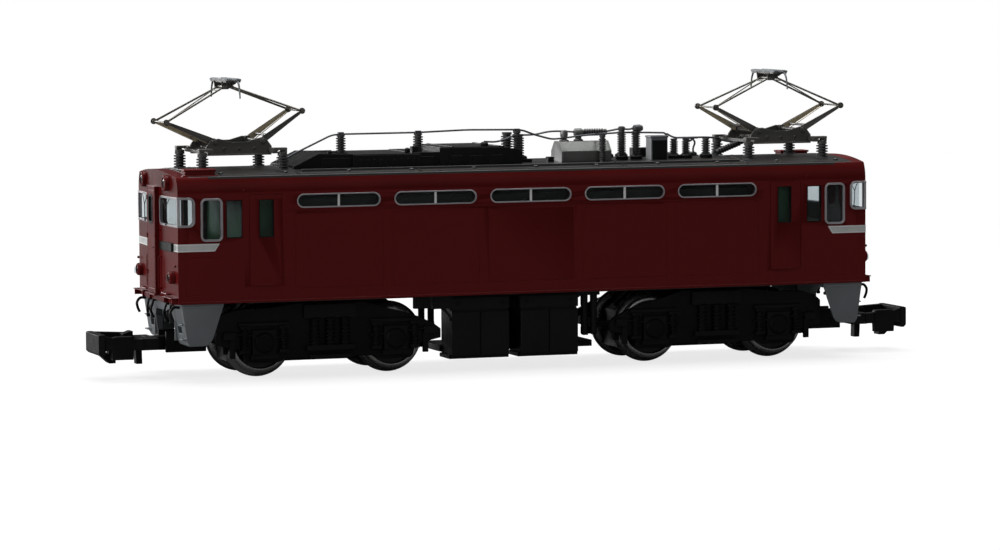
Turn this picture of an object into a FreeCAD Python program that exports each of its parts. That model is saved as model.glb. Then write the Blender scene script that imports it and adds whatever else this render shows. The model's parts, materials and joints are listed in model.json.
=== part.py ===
import FreeCAD, Part
import math
import os
import Sketcher

# Four-axle electric locomotive, N gauge, scale 1:150.
# +X runs along the locomotive to its front cab, +Z is up, and the origin lies on the
# rail tops under the middle of the body. Lengths are in millimetres.

VECTOR = FreeCAD.Vector
doc = FreeCAD.newDocument("ElectricLocomotive")


# ---------------------------------------------------------------- driving dimensions

DIMENSIONS = {
    # body shell
    "body_half_width": 9.33,
    "body_corner_x": 44.6,
    "body_panel_x": 44.95,
    "body_floor_z": 8.83,
    "gutter_z": 23.94,
    "gutter_half_width": 8.7,
    "shoulder_z": 21.9,
    "shoulder_radius": 3.62,
    "shell_wall": 0.9,
    "shell_top_wall": 0.94,
    "end_door_half_width": 1.85,
    "end_door_face_x": 45.5,
    "end_door_floor_z": 9.7,
    "end_door_top_z": 22.6,
    "end_window_half_width": 0.95,
    "end_window_low_z": 18.2,
    "end_window_top_z": 21.5,
    # side windows
    "oval_spacing": 12.27,
    "oval_length": 10.35,
    "oval_height": 1.54,
    "oval_centre_z": 20.87,
    "cab_window_x": 40.4,
    "cab_window_width": 2.45,
    "cab_window_low_z": 16.4,
    "cab_window_top_z": 21.3,
    "rear_cab_window_x": 37.6,
    "rear_cab_window_width": 2.0,
    "door_window_x": 33.6,
    "door_window_width": 1.85,
    "plain_window_low_z": 16.6,
    "plain_window_top_z": 21.15,
    "wrap_window_side_x": 42.6,
    "wrap_window_inner_y": 2.3,
    "wrap_window_low_z": 18.15,
    "wrap_window_top_z": 21.45,
    "frame_lap": 0.22,
    "frame_proud": 0.1,
    "glass_gap": 0.03,
    # lamps
    "headlight_y": 5.35,
    "headlight_z": 23.1,
    "headlight_pod_radius": 0.95,
    "headlight_lens_radius": 0.6,
    "headlight_pod_x": 45.25,
    "tail_lamp_y": 7.65,
    "tail_lamp_z": 11.9,
    "tail_lamp_radius": 0.72,
    "tail_lens_radius": 0.45,
    "tail_lamp_x": 45.75,
    # roof
    "roof_arc_radius": 44.4,
    "roof_half_length": 43.9,
    "roof_seat_z": 24.05,
    "socket_gap": 0.03,
    "whistle_inner_x": 39.6,
    "whistle_outer_x": 43.3,
    "whistle_inner_y": 6.1,
    "whistle_outer_y": 8.1,
    "whistle_top_z": 25.15,
    # end skirts
    "skirt_top_inner_x": 38.9,
    "skirt_top_outer_x": 44.2,
    "skirt_low_inner_x": 40.5,
    "skirt_low_outer_x": 43.45,
    "skirt_low_z": 3.75,
    "skirt_half_width": 9.2,
    "skirt_wall": 0.45,
    "skirt_opening_half_width": 4.5,
    "skirt_opening_top_z": 7.4,
    # chassis
    "chassis_half_length": 35.6,
    "chassis_half_width": 7.6,
    "chassis_split": 0.2,
    "chassis_floor_z": 8.6,
    "chassis_top_z": 21.0,
    "motor_bore_radius": 5.1,
    "flywheel_bore_half_length": 15.4,
    "worm_bore_radius": 2.4,
    "worm_bore_half_length": 32.0,
    "screw_shank_radius": 0.6,
    "screw_head_radius": 1.1,
    "screw_head_height": 0.6,
    "running_gap": 0.05,
    # drive line
    "drive_z": 12.3,
    "shaft_radius": 0.75,
    "shaft_half_length": 15.5,
    "can_radius": 5.0,
    "can_wall": 0.55,
    "can_half_length": 8.0,
    "magnet_inner_radius": 3.95,
    "magnet_half_length": 5.6,
    "core_radius": 3.7,
    "core_half_length": 4.9,
    "commutator_radius": 1.5,
    "flywheel_radius": 3.6,
    "flywheel_inner_x": 9.7,
    "flywheel_outer_x": 14.1,
    "coupling_inner_x": 14.4,
    "coupling_outer_x": 19.6,
    "coupling_radius": 1.45,
    "worm_shaft_inner_x": 18.4,
    "worm_shaft_outer_x": 31.0,
    "worm_half_length": 2.75,
    "worm_pitch_radius": 1.3,
    "worm_thread_width": 0.3,
    "bearing_length": 1.2,
    "bearing_offset": 4.4,
    # gears
    "gear_module": 0.35,
    "gear_addendum": 0.26,
    "gear_dedendum": 0.34,
    "gear_tooth_width": 0.36,
    "gear_half_face": 0.4,
    "gear_pin_radius": 0.5,
    "top_gear_teeth": 20,
    "idler_teeth": 11,
    "axle_gear_teeth": 12,
    "top_gear_z": 7.5,
    # bogies
    "bogie_x": 25.2,
    "axle_offset": 8.3,
    "axle_z": 3.75,
    "wheel_radius": 3.75,
    "flange_radius": 4.35,
    "wheel_back_y": 3.7,
    "wheel_face_y": 5.65,
    "wheel_rim": 0.45,
    "hub_radius": 1.5,
    "gearbox_half_length": 11.3,
    "gearbox_half_width": 3.25,
    "gearbox_low_z": 1.9,
    "gearbox_top_z": 8.2,
    "gear_slot_half_width": 0.62,
    "collar_radius": 4.0,
    "collar_top_z": 9.6,
    "keeper_low_z": 1.1,
    "frame_half_length": 14.3,
    "frame_inner_y": 6.35,
    "frame_outer_y": 7.9,
    "frame_low_z": 1.25,
    "frame_top_z": 7.9,
    "frame_leg_half": 2.6,
    "frame_foot_length": 5.2,
    "bridge_half_length": 3.0,
    "end_beam_low_z": 3.6,
    "outer_beam_top_z": 6.4,
    "inner_beam_top_z": 4.7,
    "tongue_half_width": 2.4,
    "tongue_top_z": 5.4,
    "pocket_half_width": 2.1,
    "pocket_bore_half_width": 1.5,
    "pocket_low_z": 2.4,
    "pocket_top_z": 5.0,
    "frame_belly_rise": 0.35,
    "frame_heel_rise": 2.2,
    "end_beam_inner_x": 13.1,
    "pickup_thickness": 0.15,
    # couplers
    "coupler_pivot_x": 18.0,
    "coupler_pivot_z": 3.7,
    "coupler_tip_x": 27.75,
    "coupler_half_width": 3.3,
    "coupler_low_z": 2.4,
    "coupler_top_z": 5.0,
    "coupler_pin_radius": 0.4,
    # underframe boxes
    "box_low_z": 0.9,
    "box_half_width": 8.0,
    "spine_half_width": 3.4,
    "well_floor_z": 6.5,
    # pantographs
    "pantograph_x": 35.4,
    "insulator_x": 5.0,
    "insulator_y": 5.3,
    "insulator_radius": 0.7,
    "insulator_core_radius": 0.42,
    "insulator_top_z": 26.9,
    "base_beam_height": 0.6,
    "base_pivot_x": 3.0,
    "pivot_z": 27.9,
    "lower_arm": 6.28,
    "upper_arm": 8.78,
    "arm_y": 3.05,
    "arm_thickness": 0.3,
    "pivot_pin_radius": 0.25,
    "head_half_length": 6.2,
    "head_top_z": 35.5,
}

sheet = doc.addObject("Spreadsheet::Sheet", "Dims")
for row, (alias, value) in enumerate(DIMENSIONS.items(), start=1):
    sheet.set("A%d" % row, alias)
    sheet.set("B%d" % row, str(value))
    sheet.setAlias("B%d" % row, alias)
doc.recompute()


class Size:
    """A number together with the sheet formula that gives it."""

    def __init__(self, number, formula):
        self.number = float(number)
        self.formula = formula

    def joined(self, other, sign, number):
        return Size(number, "(%s %s %s)" % (self.formula, sign, other.formula))

    def __add__(self, other):
        other = as_size(other)
        return self.joined(other, "+", self.number + other.number)

    def __sub__(self, other):
        other = as_size(other)
        return self.joined(other, "-", self.number - other.number)

    def __mul__(self, other):
        other = as_size(other)
        return self.joined(other, "*", self.number * other.number)

    def __truediv__(self, other):
        other = as_size(other)
        return self.joined(other, "/", self.number / other.number)

    def __radd__(self, other):
        return as_size(other) + self

    def __rsub__(self, other):
        return as_size(other) - self

    def __rmul__(self, other):
        return as_size(other) * self

    def __neg__(self):
        return self * -1


def as_size(value):
    if isinstance(value, Size):
        return value
    return Size(value, "(%s)" % float(value))


class Dimensions:
    """The sheet's cells, each one a Size under its own alias."""

    def __init__(self, cells):
        for alias in cells:
            setattr(self, alias, Size(sheet.get(alias), "Dims." + alias))


d = Dimensions(DIMENSIONS)


# ---------------------------------------------------------------- building helpers

def bind(thing, property_name, size):
    thing.setExpression(property_name, as_size(size).formula)


def bind_place(thing, x, y, z):
    for axis_name, size in (("x", x), ("y", y), ("z", z)):
        bind(thing, "Placement.Base." + axis_name, size)


TURN_TO = {
    "X": FreeCAD.Rotation(VECTOR(0, 1, 0), 90),
    "Y": FreeCAD.Rotation(VECTOR(1, 0, 0), -90),
    "Z": FreeCAD.Rotation(),
}


def box(x_span, y_span, z_span):
    """Box between the given low and high coordinates."""
    thing = doc.addObject("Part::Box", "Box")
    bind(thing, "Length", as_size(x_span[1]) - x_span[0])
    bind(thing, "Width", as_size(y_span[1]) - y_span[0])
    bind(thing, "Height", as_size(z_span[1]) - z_span[0])
    bind_place(thing, x_span[0], y_span[0], z_span[0])
    return thing


def cylinder(axis, radius, start, length):
    """Round bar that starts at a point and runs along +X, +Y or +Z."""
    thing = doc.addObject("Part::Cylinder", "Cylinder")
    thing.Placement = FreeCAD.Placement(VECTOR(), TURN_TO[axis])
    bind(thing, "Radius", radius)
    bind(thing, "Height", length)
    bind_place(thing, *start)
    return thing


def cone(axis, radius_low, radius_high, start, length):
    thing = doc.addObject("Part::Cone", "Cone")
    thing.Placement = FreeCAD.Placement(VECTOR(), TURN_TO[axis])
    bind(thing, "Radius1", radius_low)
    bind(thing, "Radius2", radius_high)
    bind(thing, "Height", length)
    bind_place(thing, *start)
    return thing


def bar(radius, start, end):
    """Round bar between any two points."""
    first = VECTOR(*[as_size(value).number for value in start])
    last = VECTOR(*[as_size(value).number for value in end])
    thing = doc.addObject("Part::Cylinder", "Bar")
    turn = FreeCAD.Rotation(VECTOR(0, 0, 1), last - first)
    thing.Placement = FreeCAD.Placement(first, turn)
    thing.Height = (last - first).Length
    bind(thing, "Radius", radius)
    bind_place(thing, *start)
    return thing


def ball(radius, centre):
    thing = doc.addObject("Part::Sphere", "Ball")
    bind(thing, "Radius", radius)
    bind_place(thing, *centre)
    return thing


BEND_SWELL = 1.15
CLAMP_HALF_SIZE = 0.2


def wire(radius, points):
    """Bent round wire through the points, with a slightly larger ball at each bend."""
    bends = [ball(radius * BEND_SWELL, point) for point in points[1:-1]]
    return fuse(*straight_runs(radius, points), *bends)


def clamped_wire(radius, points):
    """Round wire through the points, held in a small square clamp at each bend."""
    half = CLAMP_HALF_SIZE
    clamps = [
        box((x - half, x + half), (y - half, y + half), (z - half, z + half))
        for x, y, z in points[1:-1]
    ]
    return fuse(*straight_runs(radius, points), *clamps)


def straight_runs(radius, points):
    return [bar(radius, points[index], points[index + 1]) for index in range(len(points) - 1)]


def fuse(*shapes):
    if len(shapes) == 1:
        return shapes[0]
    thing = doc.addObject("Part::MultiFuse", "Fuse")
    thing.Shapes = list(shapes)
    return thing


def cut(base, *tools):
    thing = doc.addObject("Part::Cut", "Cut")
    thing.Base = base
    thing.Tool = fuse(*tools)
    return thing


def common(first, second):
    thing = doc.addObject("Part::Common", "Common")
    thing.Base = first
    thing.Tool = second
    return thing


def group(*solids):
    """Separate solids kept together in one sub-part."""
    thing = doc.addObject("Part::Compound", "Group")
    thing.Links = list(solids)
    return thing


def mirrored(source, axis):
    """Copy of a shape on the other side of the plane through the origin."""
    thing = doc.addObject("Part::Mirroring", "Mirror")
    thing.Source = source
    thing.Normal = {"X": VECTOR(1, 0, 0), "Y": VECTOR(0, 1, 0)}[axis]
    return thing


def on_four_corners(source):
    across = mirrored(source, "Y")
    return [source, across, mirrored(source, "X"), mirrored(across, "X")]


def origin_plane(body, role):
    return [item for item in body.Origin.OriginFeatures if item.Role == role][0]


def new_sketch(body, role, offset=0):
    sketch = body.newObject("Sketcher::SketchObject", "Sketch")
    sketch.AttachmentSupport = (origin_plane(body, role), [""])
    sketch.MapMode = "FlatFace"
    bind(sketch, "AttachmentOffset.Base.z", offset)
    return sketch


def arc_edge(start, end, radius):
    """Arc under half a turn; a positive radius turns left, a negative one right."""
    chord = end - start
    reach = math.sqrt(max(radius * radius - chord.Length ** 2 / 4, 0))
    left = VECTOR(-chord.y, chord.x, 0).normalize()
    centre = (start + end) * 0.5 + left * math.copysign(reach, radius)
    circle = Part.Circle(centre, VECTOR(0, 0, 1), abs(radius))
    begin, finish = (start, end) if radius > 0 else (end, start)
    return Part.ArcOfCircle(circle, circle.parameter(begin), circle.parameter(finish))


def hold_point(sketch, geometry, place, point):
    """Tie one end of an edge to its coordinates in the sheet."""
    for size, kind, axis in ((point[0], "DistanceX", -2), (point[1], "DistanceY", -1)):
        if as_size(size).number == 0:
            sketch.addConstraint(Sketcher.Constraint("PointOnObject", geometry, place, axis))
            continue
        number = sketch.addConstraint(
            Sketcher.Constraint(kind, -1, 1, geometry, place, as_size(size).number))
        bind(sketch, "Constraints[%d]" % number, size)


def add_outline(sketch, corners):
    """Closed outline; a corner (x, y, radius) is reached by an arc instead of a line."""
    first = sketch.GeometryCount
    ends = []
    for index, corner in enumerate(corners):
        before = corners[index - 1]
        start = VECTOR(as_size(before[0]).number, as_size(before[1]).number, 0)
        end = VECTOR(as_size(corner[0]).number, as_size(corner[1]).number, 0)
        if len(corner) == 3:
            radius = as_size(corner[2])
            sketch.addGeometry(arc_edge(start, end, radius.number), False)
            ends.append((1, 2) if radius.number > 0 else (2, 1))
            number = sketch.addConstraint(
                Sketcher.Constraint("Radius", first + index, abs(radius.number)))
            bind(sketch, "Constraints[%d]" % number, radius if radius.number > 0 else -radius)
        else:
            sketch.addGeometry(Part.LineSegment(start, end), False)
            ends.append((1, 2))
    for index, corner in enumerate(corners):
        following = (index + 1) % len(corners)
        sketch.addConstraint(Sketcher.Constraint(
            "Coincident", first + index, ends[index][1], first + following, ends[following][0]))
        hold_point(sketch, first + index, ends[index][1], corner)


def add_circle(sketch, radius):
    """Circle round the sketch's origin."""
    number = sketch.addGeometry(Part.Circle(VECTOR(), VECTOR(0, 0, 1), as_size(radius).number), False)
    sketch.addConstraint(Sketcher.Constraint("Coincident", number, 3, -1, 1))
    held = sketch.addConstraint(Sketcher.Constraint("Radius", number, as_size(radius).number))
    bind(sketch, "Constraints[%d]" % held, radius)


def add_pad(body, sketch, length, both_sides=False):
    pad = body.newObject("PartDesign::Pad", "Pad")
    pad.Profile = sketch
    bind(pad, "Length", length)
    pad.Midplane = both_sides
    return pad


def prism(role, offset, length, corners, both_sides=False):
    """PartDesign body: one closed outline, padded along the plane's normal."""
    body = doc.addObject("PartDesign::Body", "Body")
    sketch = new_sketch(body, role, offset)
    add_outline(sketch, corners)
    add_pad(body, sketch, length, both_sides)
    return body


def turned(corners):
    """PartDesign body: an outline in (radius, Y) turned a full circle about the Y axis."""
    body = doc.addObject("PartDesign::Body", "Turned")
    sketch = new_sketch(body, "XY_Plane")
    add_outline(sketch, corners)
    revolution = body.newObject("PartDesign::Revolution", "Revolution")
    revolution.Profile = sketch
    revolution.ReferenceAxis = (sketch, ["V_Axis"])
    revolution.Angle = 360
    return body


sub_parts = []


def sub_part(label, shape):
    shape.Label = label
    sub_parts.append(shape)
    return shape


ENDS = (("front", 1), ("rear", -1))
SIDES = (1, -1)


def span(low, high, side=1):
    """Low and high coordinate, mirrored to the negative side when side is -1."""
    if side > 0:
        return (low, high)
    return (-as_size(high), -as_size(low))


# ---------------------------------------------------------------- body shell

def plan_outline(margin):
    """Body seen from above: long sides and two shallow-angled end panels."""
    corner = d.body_corner_x + margin
    panel = d.body_panel_x + margin
    half = d.body_half_width + margin
    inner = d.end_door_half_width
    return [
        (corner, -half), (panel, -inner), (panel, inner), (corner, half),
        (-corner, half), (-panel, inner), (-panel, -inner), (-corner, -half),
    ]


def cavity():
    length = d.body_corner_x - d.shell_wall
    width = d.body_half_width - d.shell_wall
    return box((-length, length), (-width, width), (d.body_floor_z - 1, d.gutter_z - d.shell_top_wall))


def shoulder_trim():
    """What the rounded shoulder leaves out of the square side, along one side."""
    half = d.body_half_width
    outside = half + 1
    corners = [
        (half, d.shoulder_z), (outside, d.shoulder_z), (outside, d.gutter_z + 1),
        (d.gutter_half_width, d.gutter_z + 1), (d.gutter_half_width, d.gutter_z),
    ]
    corners[0] = (half, d.shoulder_z, -d.shoulder_radius)
    return prism("YZ_Plane", 0, d.body_panel_x * 2 + 4, corners, True)


def oval(x, margin, y_span):
    """Slot-shaped prism across one side wall, round at both ends."""
    radius = d.oval_height / 2 + margin
    reach = (d.oval_length - d.oval_height) / 2
    depth = as_size(y_span[1]) - y_span[0]
    z = d.oval_centre_z
    middle = box((x - reach, x + reach), y_span, (z - radius, z + radius))
    near = cylinder("Y", radius, (x - reach, y_span[0], z), depth)
    far = cylinder("Y", radius, (x + reach, y_span[0], z), depth)
    return fuse(middle, near, far)


def cab_windows():
    """Centre, width, lowest and highest edge of each upright side window."""
    plain = (d.plain_window_low_z, d.plain_window_top_z)
    return [
        (d.cab_window_x, d.cab_window_width, d.cab_window_low_z, d.cab_window_top_z),
        (d.rear_cab_window_x, d.rear_cab_window_width) + plain,
        (d.door_window_x, d.door_window_width) + plain,
    ]


def upright(window, margin, y_span):
    x, width, low, top = window
    half = width / 2 + margin
    return box((x - half, x + half), y_span, (low - margin, top + margin))


def wrap_region(margin):
    """Block over one front corner that bounds the wrap-round windscreen."""
    return box(
        (d.wrap_window_side_x - margin, 48), (d.wrap_window_inner_y - margin, 11),
        (d.wrap_window_low_z - margin, d.wrap_window_top_z + margin))


def end_window_region(margin, x_span):
    half = d.end_window_half_width + margin
    return box(x_span, (-half, half), (d.end_window_low_z - margin, d.end_window_top_z + margin))


def oval_centres():
    return [d.oval_spacing * count for count in (-2, -1, 0, 1, 2)]


def body_shell():
    blank = prism("XY_Plane", d.body_floor_z, d.gutter_z - d.body_floor_z, plan_outline(0))
    trim = shoulder_trim()
    door = box(
        (d.body_panel_x - 0.3, d.end_door_face_x), (-d.end_door_half_width, d.end_door_half_width),
        (d.end_door_floor_z, d.end_door_top_z))
    pod_root = d.body_corner_x - 0.6
    pod = cylinder(
        "X", d.headlight_pod_radius, (pod_root, d.headlight_y, d.headlight_z), d.headlight_pod_x - pod_root)
    lamp = cylinder(
        "X", d.tail_lamp_radius, (44.0, d.tail_lamp_y, d.tail_lamp_z), d.tail_lamp_x - 44.0)
    ends = [door, mirrored(door, "X")] + on_four_corners(pod) + on_four_corners(lamp)
    solid = fuse(cut(blank, trim, mirrored(trim, "Y")), *ends)
    through = (d.body_half_width - 2, d.body_half_width + 1)
    holes = [cavity()]
    for x in oval_centres():
        hole = oval(x, 0, through)
        holes += [hole, mirrored(hole, "Y")]
    for window in cab_windows():
        holes += on_four_corners(upright(window, 0, through))
    holes += on_four_corners(wrap_region(0))
    end_window = end_window_region(0, (43, 47))
    holes += [end_window, mirrored(end_window, "X")]
    headlight_hole = cylinder("X", d.headlight_lens_radius, (43, d.headlight_y, d.headlight_z), 4)
    tail_hole = cylinder("X", d.tail_lens_radius, (43, d.tail_lamp_y, d.tail_lamp_z), 4)
    holes += on_four_corners(headlight_hole) + on_four_corners(tail_hole)
    return sub_part("body_shell", cut(solid, *holes))


def window_glazing():
    gap = -d.glass_gap
    depth = (d.body_half_width - 0.7, d.body_half_width)
    panes = []
    for x in oval_centres():
        pane = oval(x, gap, depth)
        panes += [pane, mirrored(pane, "Y")]
    for window in cab_windows():
        panes += on_four_corners(upright(window, gap, depth))
    band = cut(prism("XY_Plane", d.body_floor_z, d.gutter_z - d.body_floor_z, plan_outline(0)), cavity())
    panes += on_four_corners(common(band, wrap_region(gap)))
    end_pane = end_window_region(gap, (d.end_door_face_x - 0.8, d.end_door_face_x))
    panes += [end_pane, mirrored(end_pane, "X")]
    return sub_part("window_glazing", group(*panes))


def window_frames():
    lap = d.frame_lap
    proud = (d.body_half_width, d.body_half_width + d.frame_proud)
    deep = (d.body_half_width - 1, d.body_half_width + 1)
    rings = []
    for x in oval_centres():
        ring = cut(oval(x, lap, proud), oval(x, -lap, deep))
        bar_half = 0.2
        divider = box(
            (x - bar_half, x + bar_half), proud,
            (d.oval_centre_z - d.oval_height / 2, d.oval_centre_z + d.oval_height / 2))
        framed = fuse(ring, divider)
        rings += [framed, mirrored(framed, "Y")]
    cab = cab_windows()[0]
    rings += on_four_corners(cut(upright(cab, lap, proud), upright(cab, -lap, deep)))
    height = d.gutter_z - d.body_floor_z
    skin = cut(
        prism("XY_Plane", d.body_floor_z, height, plan_outline(d.frame_proud)),
        prism("XY_Plane", d.body_floor_z - 1, height + 2, plan_outline(0)))
    post = box(
        (d.body_corner_x - 0.35, 48), (d.body_half_width - 0.35, 11),
        (d.wrap_window_low_z, d.wrap_window_top_z))
    rim = fuse(cut(wrap_region(lap), wrap_region(-lap)), post)
    rings += on_four_corners(common(skin, rim))
    face = (d.end_door_face_x, d.end_door_face_x + d.frame_proud)
    end_ring = cut(end_window_region(lap, face), end_window_region(-lap, (45, 47)))
    rings += [end_ring, mirrored(end_ring, "X")]
    return sub_part("window_frames", group(*rings))


def light_guides():
    """Clear bars behind each end panel whose round ends are the lamp lenses."""
    inner_x = d.body_corner_x - d.shell_wall
    lens = d.headlight_lens_radius - d.running_gap
    bar_box = box(
        (inner_x - 1.0, inner_x), (-d.headlight_y - 0.5, d.headlight_y + 0.5), (22.0, 22.9))
    prongs = [
        cylinder("X", lens, (inner_x - 0.1, side * d.headlight_y, d.headlight_z), 1.35)
        for side in SIDES]
    guide = cut(fuse(bar_box, *prongs), box((42, inner_x), (-9, 9), (22.95, 24)))
    tail = cylinder(
        "X", d.tail_lens_radius - d.running_gap, (inner_x, d.tail_lamp_y, d.tail_lamp_z),
        d.tail_lamp_x - inner_x - 0.1)
    return sub_part("light_guides", group(guide, mirrored(guide, "X"), *on_four_corners(tail)))


def end_handrails():
    """Grab rails on the end panels beside the door and a rail over the steps."""
    radius = 0.12
    stand = d.body_panel_x + 0.35
    y = d.end_door_half_width + 0.9
    rails = []
    upright_rail = wire(radius, [
        (d.body_panel_x, y, 10.4), (stand, y, 10.4), (stand, y, 14.2), (d.body_panel_x, y, 14.2)])
    low_rail = wire(radius, [
        (d.body_panel_x, 3.6, 9.6), (stand, 3.6, 9.6), (stand, 6.2, 9.6), (d.body_panel_x - 0.2, 6.2, 9.6)])
    keep = prism("XY_Plane", d.body_floor_z - 2, 20, plan_outline(0))
    for rail in (upright_rail, low_rail):
        rails += on_four_corners(cut(rail, keep))
    return sub_part("end_handrails", group(*rails))


def end_skirts():
    """Hollow pilot under each cab, open to the bogie and slotted for the coupler."""
    half = d.skirt_half_width
    corners = [
        (d.skirt_low_inner_x + 0.5, d.skirt_low_z), (d.skirt_low_outer_x, d.skirt_low_z),
        (d.skirt_top_outer_x, d.body_floor_z), (d.skirt_top_inner_x, d.body_floor_z),
        (d.skirt_low_inner_x, d.skirt_low_z + 0.7),
    ]
    blank = prism("XZ_Plane", 0, half * 2, corners, True)
    inside = box(
        (30, d.skirt_low_outer_x - d.skirt_wall), (-half + d.skirt_wall, half - d.skirt_wall), (0, 12))
    opening = box(
        (41, 46), (-d.skirt_opening_half_width, d.skirt_opening_half_width), (0, d.skirt_opening_top_z))
    skirt = cut(blank, inside, opening)
    return sub_part("end_skirts", group(skirt, mirrored(skirt, "X")))


def brake_hoses():
    """Air hoses that hang from the end beam in front of each skirt."""
    radius = 0.26
    top = d.body_floor_z
    x = d.body_corner_x
    hoses = []
    for y in (3.0, 5.4):
        hose = wire(radius, [
            (x, y, top), (x, y, top - 0.7), (x + 0.45, y, top - 2.0), (x + 0.1, y, top - 3.0)])
        tap = box((x - 0.35, x + 0.5), (y - 0.3, y + 0.3), (top - 0.95, top - 0.4))
        hoses.append(fuse(hose, tap))
    chosen = []
    for hose in hoses:
        chosen += on_four_corners(hose)
    return sub_part("brake_hoses", group(*chosen))


def interior_bulkheads():
    """Cab rear walls and driver's desks."""
    half = d.body_half_width - d.shell_wall - 0.1
    wall = box((d.chassis_half_length + 0.2, d.chassis_half_length + 0.6), (-half, half), (10, 20.9))
    floor = box((d.chassis_half_length + 0.6, 43.4), (-half, half), (10, 10.6))
    desk = box((41.6, 43.4), (-half, half), (10.6, 16.2))
    cab = fuse(wall, floor, desk)
    return sub_part("interior_bulkheads", group(cab, mirrored(cab, "X")))


# ---------------------------------------------------------------- roof

def ribbed_insulator(x, y, low, top, radius, core, ribs):
    """Upright porcelain: a core with evenly spaced round sheds."""
    height = as_size(top) - low
    shapes = [cylinder("Z", core, (x, y, low), height)]
    shed = height * 0.72 / ribs
    for count in range(ribs):
        start = low + height * 0.14 + shed * count
        shapes.append(cone("Z", radius, core, (x, y, start), shed * 0.62))
    shapes.append(cylinder("Z", core + 0.12, (x, y, as_size(top) - height * 0.1), height * 0.1))
    return fuse(*shapes)


def bus_insulators():
    """Place, top height and radius of the insulators that carry the roof wiring."""
    return [
        (-21.6, -2.6, 28.4, 0.62), (-12.1, -2.6, 28.4, 0.62), (0.5, -2.6, 28.4, 1.25),
        (14.3, -2.6, 28.2, 0.6), (16.1, -2.6, 28.2, 0.6),
        (21.2, -2.6, 26.8, 0.6), (22.7, -2.6, 26.8, 0.6), (25.4, -2.6, 26.8, 0.6),
    ]


def equipment_blocks(margin):
    """Low boxes and the breaker case along the roof, seated below its surface."""
    seat = d.roof_seat_z - margin
    spans = [
        (-28.2, -21.3, -5.2, 5.2, 26.0), (-21.3, -13.7, -5.6, 5.6, 25.6),
        (-13.6, 1.6, -6.4, 6.4, 26.7), (17.2, 20.2, -3.8, 3.8, 27.4), (1.8, 4.8, -5.0, 5.0, 25.3),
        (12.9, 17.1, -4.4, 4.4, 25.2), (20.3, 26.6, -4.4, 4.4, 25.1),
    ]
    return [
        box((x0 - margin, x1 + margin), (y0 - margin, y1 + margin), (seat, top))
        for x0, x1, y0, y1, top in spans]


def block_top(x):
    """Height of whatever the insulator at x stands on."""
    for low, high, top in ((-21.3, -13.7, 25.6), (-28.2, -21.3, 26.0), (-13.6, 1.6, 26.7),
                           (12.9, 17.1, 25.2), (20.3, 26.6, 25.1)):
        if low <= x <= high:
            return top
    return d.roof_seat_z


def transformer(margin):
    """Eight-sided tank that lies along the roof."""
    half = 4.2 + margin
    chamfer = 0.9
    low = d.roof_seat_z - margin
    top = 27.0
    corners = [
        (-half, low), (half, low), (half, top - chamfer), (half - chamfer, top),
        (-half + chamfer, top), (-half, top - chamfer),
    ]
    return prism("YZ_Plane", 4.95 - margin, 7.5 + margin * 2, corners)


def pantograph_insulator_places():
    places = []
    for _, end in ENDS:
        for along in SIDES:
            for side in SIDES:
                places.append((end * d.pantograph_x + along * d.insulator_x, side * d.insulator_y))
    return places


def whistle_block(margin):
    seat = d.gutter_z - margin
    return box(
        (d.whistle_inner_x - margin, d.whistle_outer_x + margin),
        (d.whistle_inner_y - margin, d.whistle_outer_y + margin), (seat, d.whistle_top_z))


def opposite_corners(source):
    """The block at the front far side and its twin at the rear near side."""
    return [source, mirrored(mirrored(source, "X"), "Y")]


def roof_panel():
    edge = d.gutter_half_width
    low = d.gutter_z
    corners = [(-edge, low), (edge, low), (edge, low + 0.02), (-edge, low + 0.02, d.roof_arc_radius)]
    blank = prism("YZ_Plane", 0, d.roof_half_length * 2, corners, True)
    gap = d.socket_gap
    sockets = equipment_blocks(gap) + [transformer(gap)] + opposite_corners(whistle_block(gap))
    for x, y in pantograph_insulator_places():
        sockets.append(cylinder("Z", d.insulator_radius + gap, (x, y, d.roof_seat_z), 2))
    sockets.append(cylinder("Z", 0.5 + gap, (27.4, 2.6, d.roof_seat_z), 2))
    sockets.append(cylinder("Z", 0.5 + gap, (-29.4, -2.6, d.roof_seat_z), 2))
    return sub_part("roof_panel", cut(blank, *sockets))


def roof_equipment():
    bosses = [cylinder("Z", 0.75, (x, -1.6, 27.0), 1.3) for x in (6.2, 8.9)]
    ribbed = [cylinder("X", 0.45, (9.8, -3.0, 27.5), 3.0)]
    ribbed += [cylinder("X", 0.75, (10.1 + 0.55 * count, -3.0, 27.5), 0.3) for count in range(5)]
    foot = box((10.9, 11.6), (-3.3, -2.7), (26.9, 27.4))
    tank = fuse(transformer(0), *bosses, *ribbed, foot)
    return sub_part("roof_equipment", group(*equipment_blocks(0), tank))


def roof_insulators():
    seat = d.roof_seat_z
    shapes = []
    for x, y in pantograph_insulator_places():
        shapes.append(ribbed_insulator(
            x, y, seat, d.insulator_top_z, d.insulator_radius, d.insulator_core_radius, 4))
    for x, y, top, radius in bus_insulators():
        shapes.append(ribbed_insulator(x, y, as_size(block_top(x)), top, radius, radius * 0.6, 4))
    post = cylinder("Z", 0.5, (27.4, 2.6, seat), 1.6)
    arrester = fuse(post, bar(0.42, (27.4, 2.6, 25.4), (30.0, 0.6, 26.6)))
    shapes.append(arrester)
    return sub_part("roof_insulators", group(*shapes))


def bus_wires():
    """Bare high-voltage wires carried on top of the insulators."""
    radius = 0.14
    top = 28.4 + CLAMP_HALF_SIZE + 0.02
    y = -2.6
    rear = clamped_wire(radius, [
        (-29.4, y, d.roof_seat_z), (-29.4, y, 25.9), (-22.6, y, top), (0.5, y, top),
        (4.2, y, 28.35), (16.1, y, 28.42)])
    front = clamped_wire(radius, [
        (17.9, y, 27.42), (17.9, y, 28.1), (20.7, y, 27.8), (21.2, y, 27.02), (25.4, y, 27.02)])
    return sub_part("bus_wires", group(rear, front))


# ---------------------------------------------------------------- chassis and underframe

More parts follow.
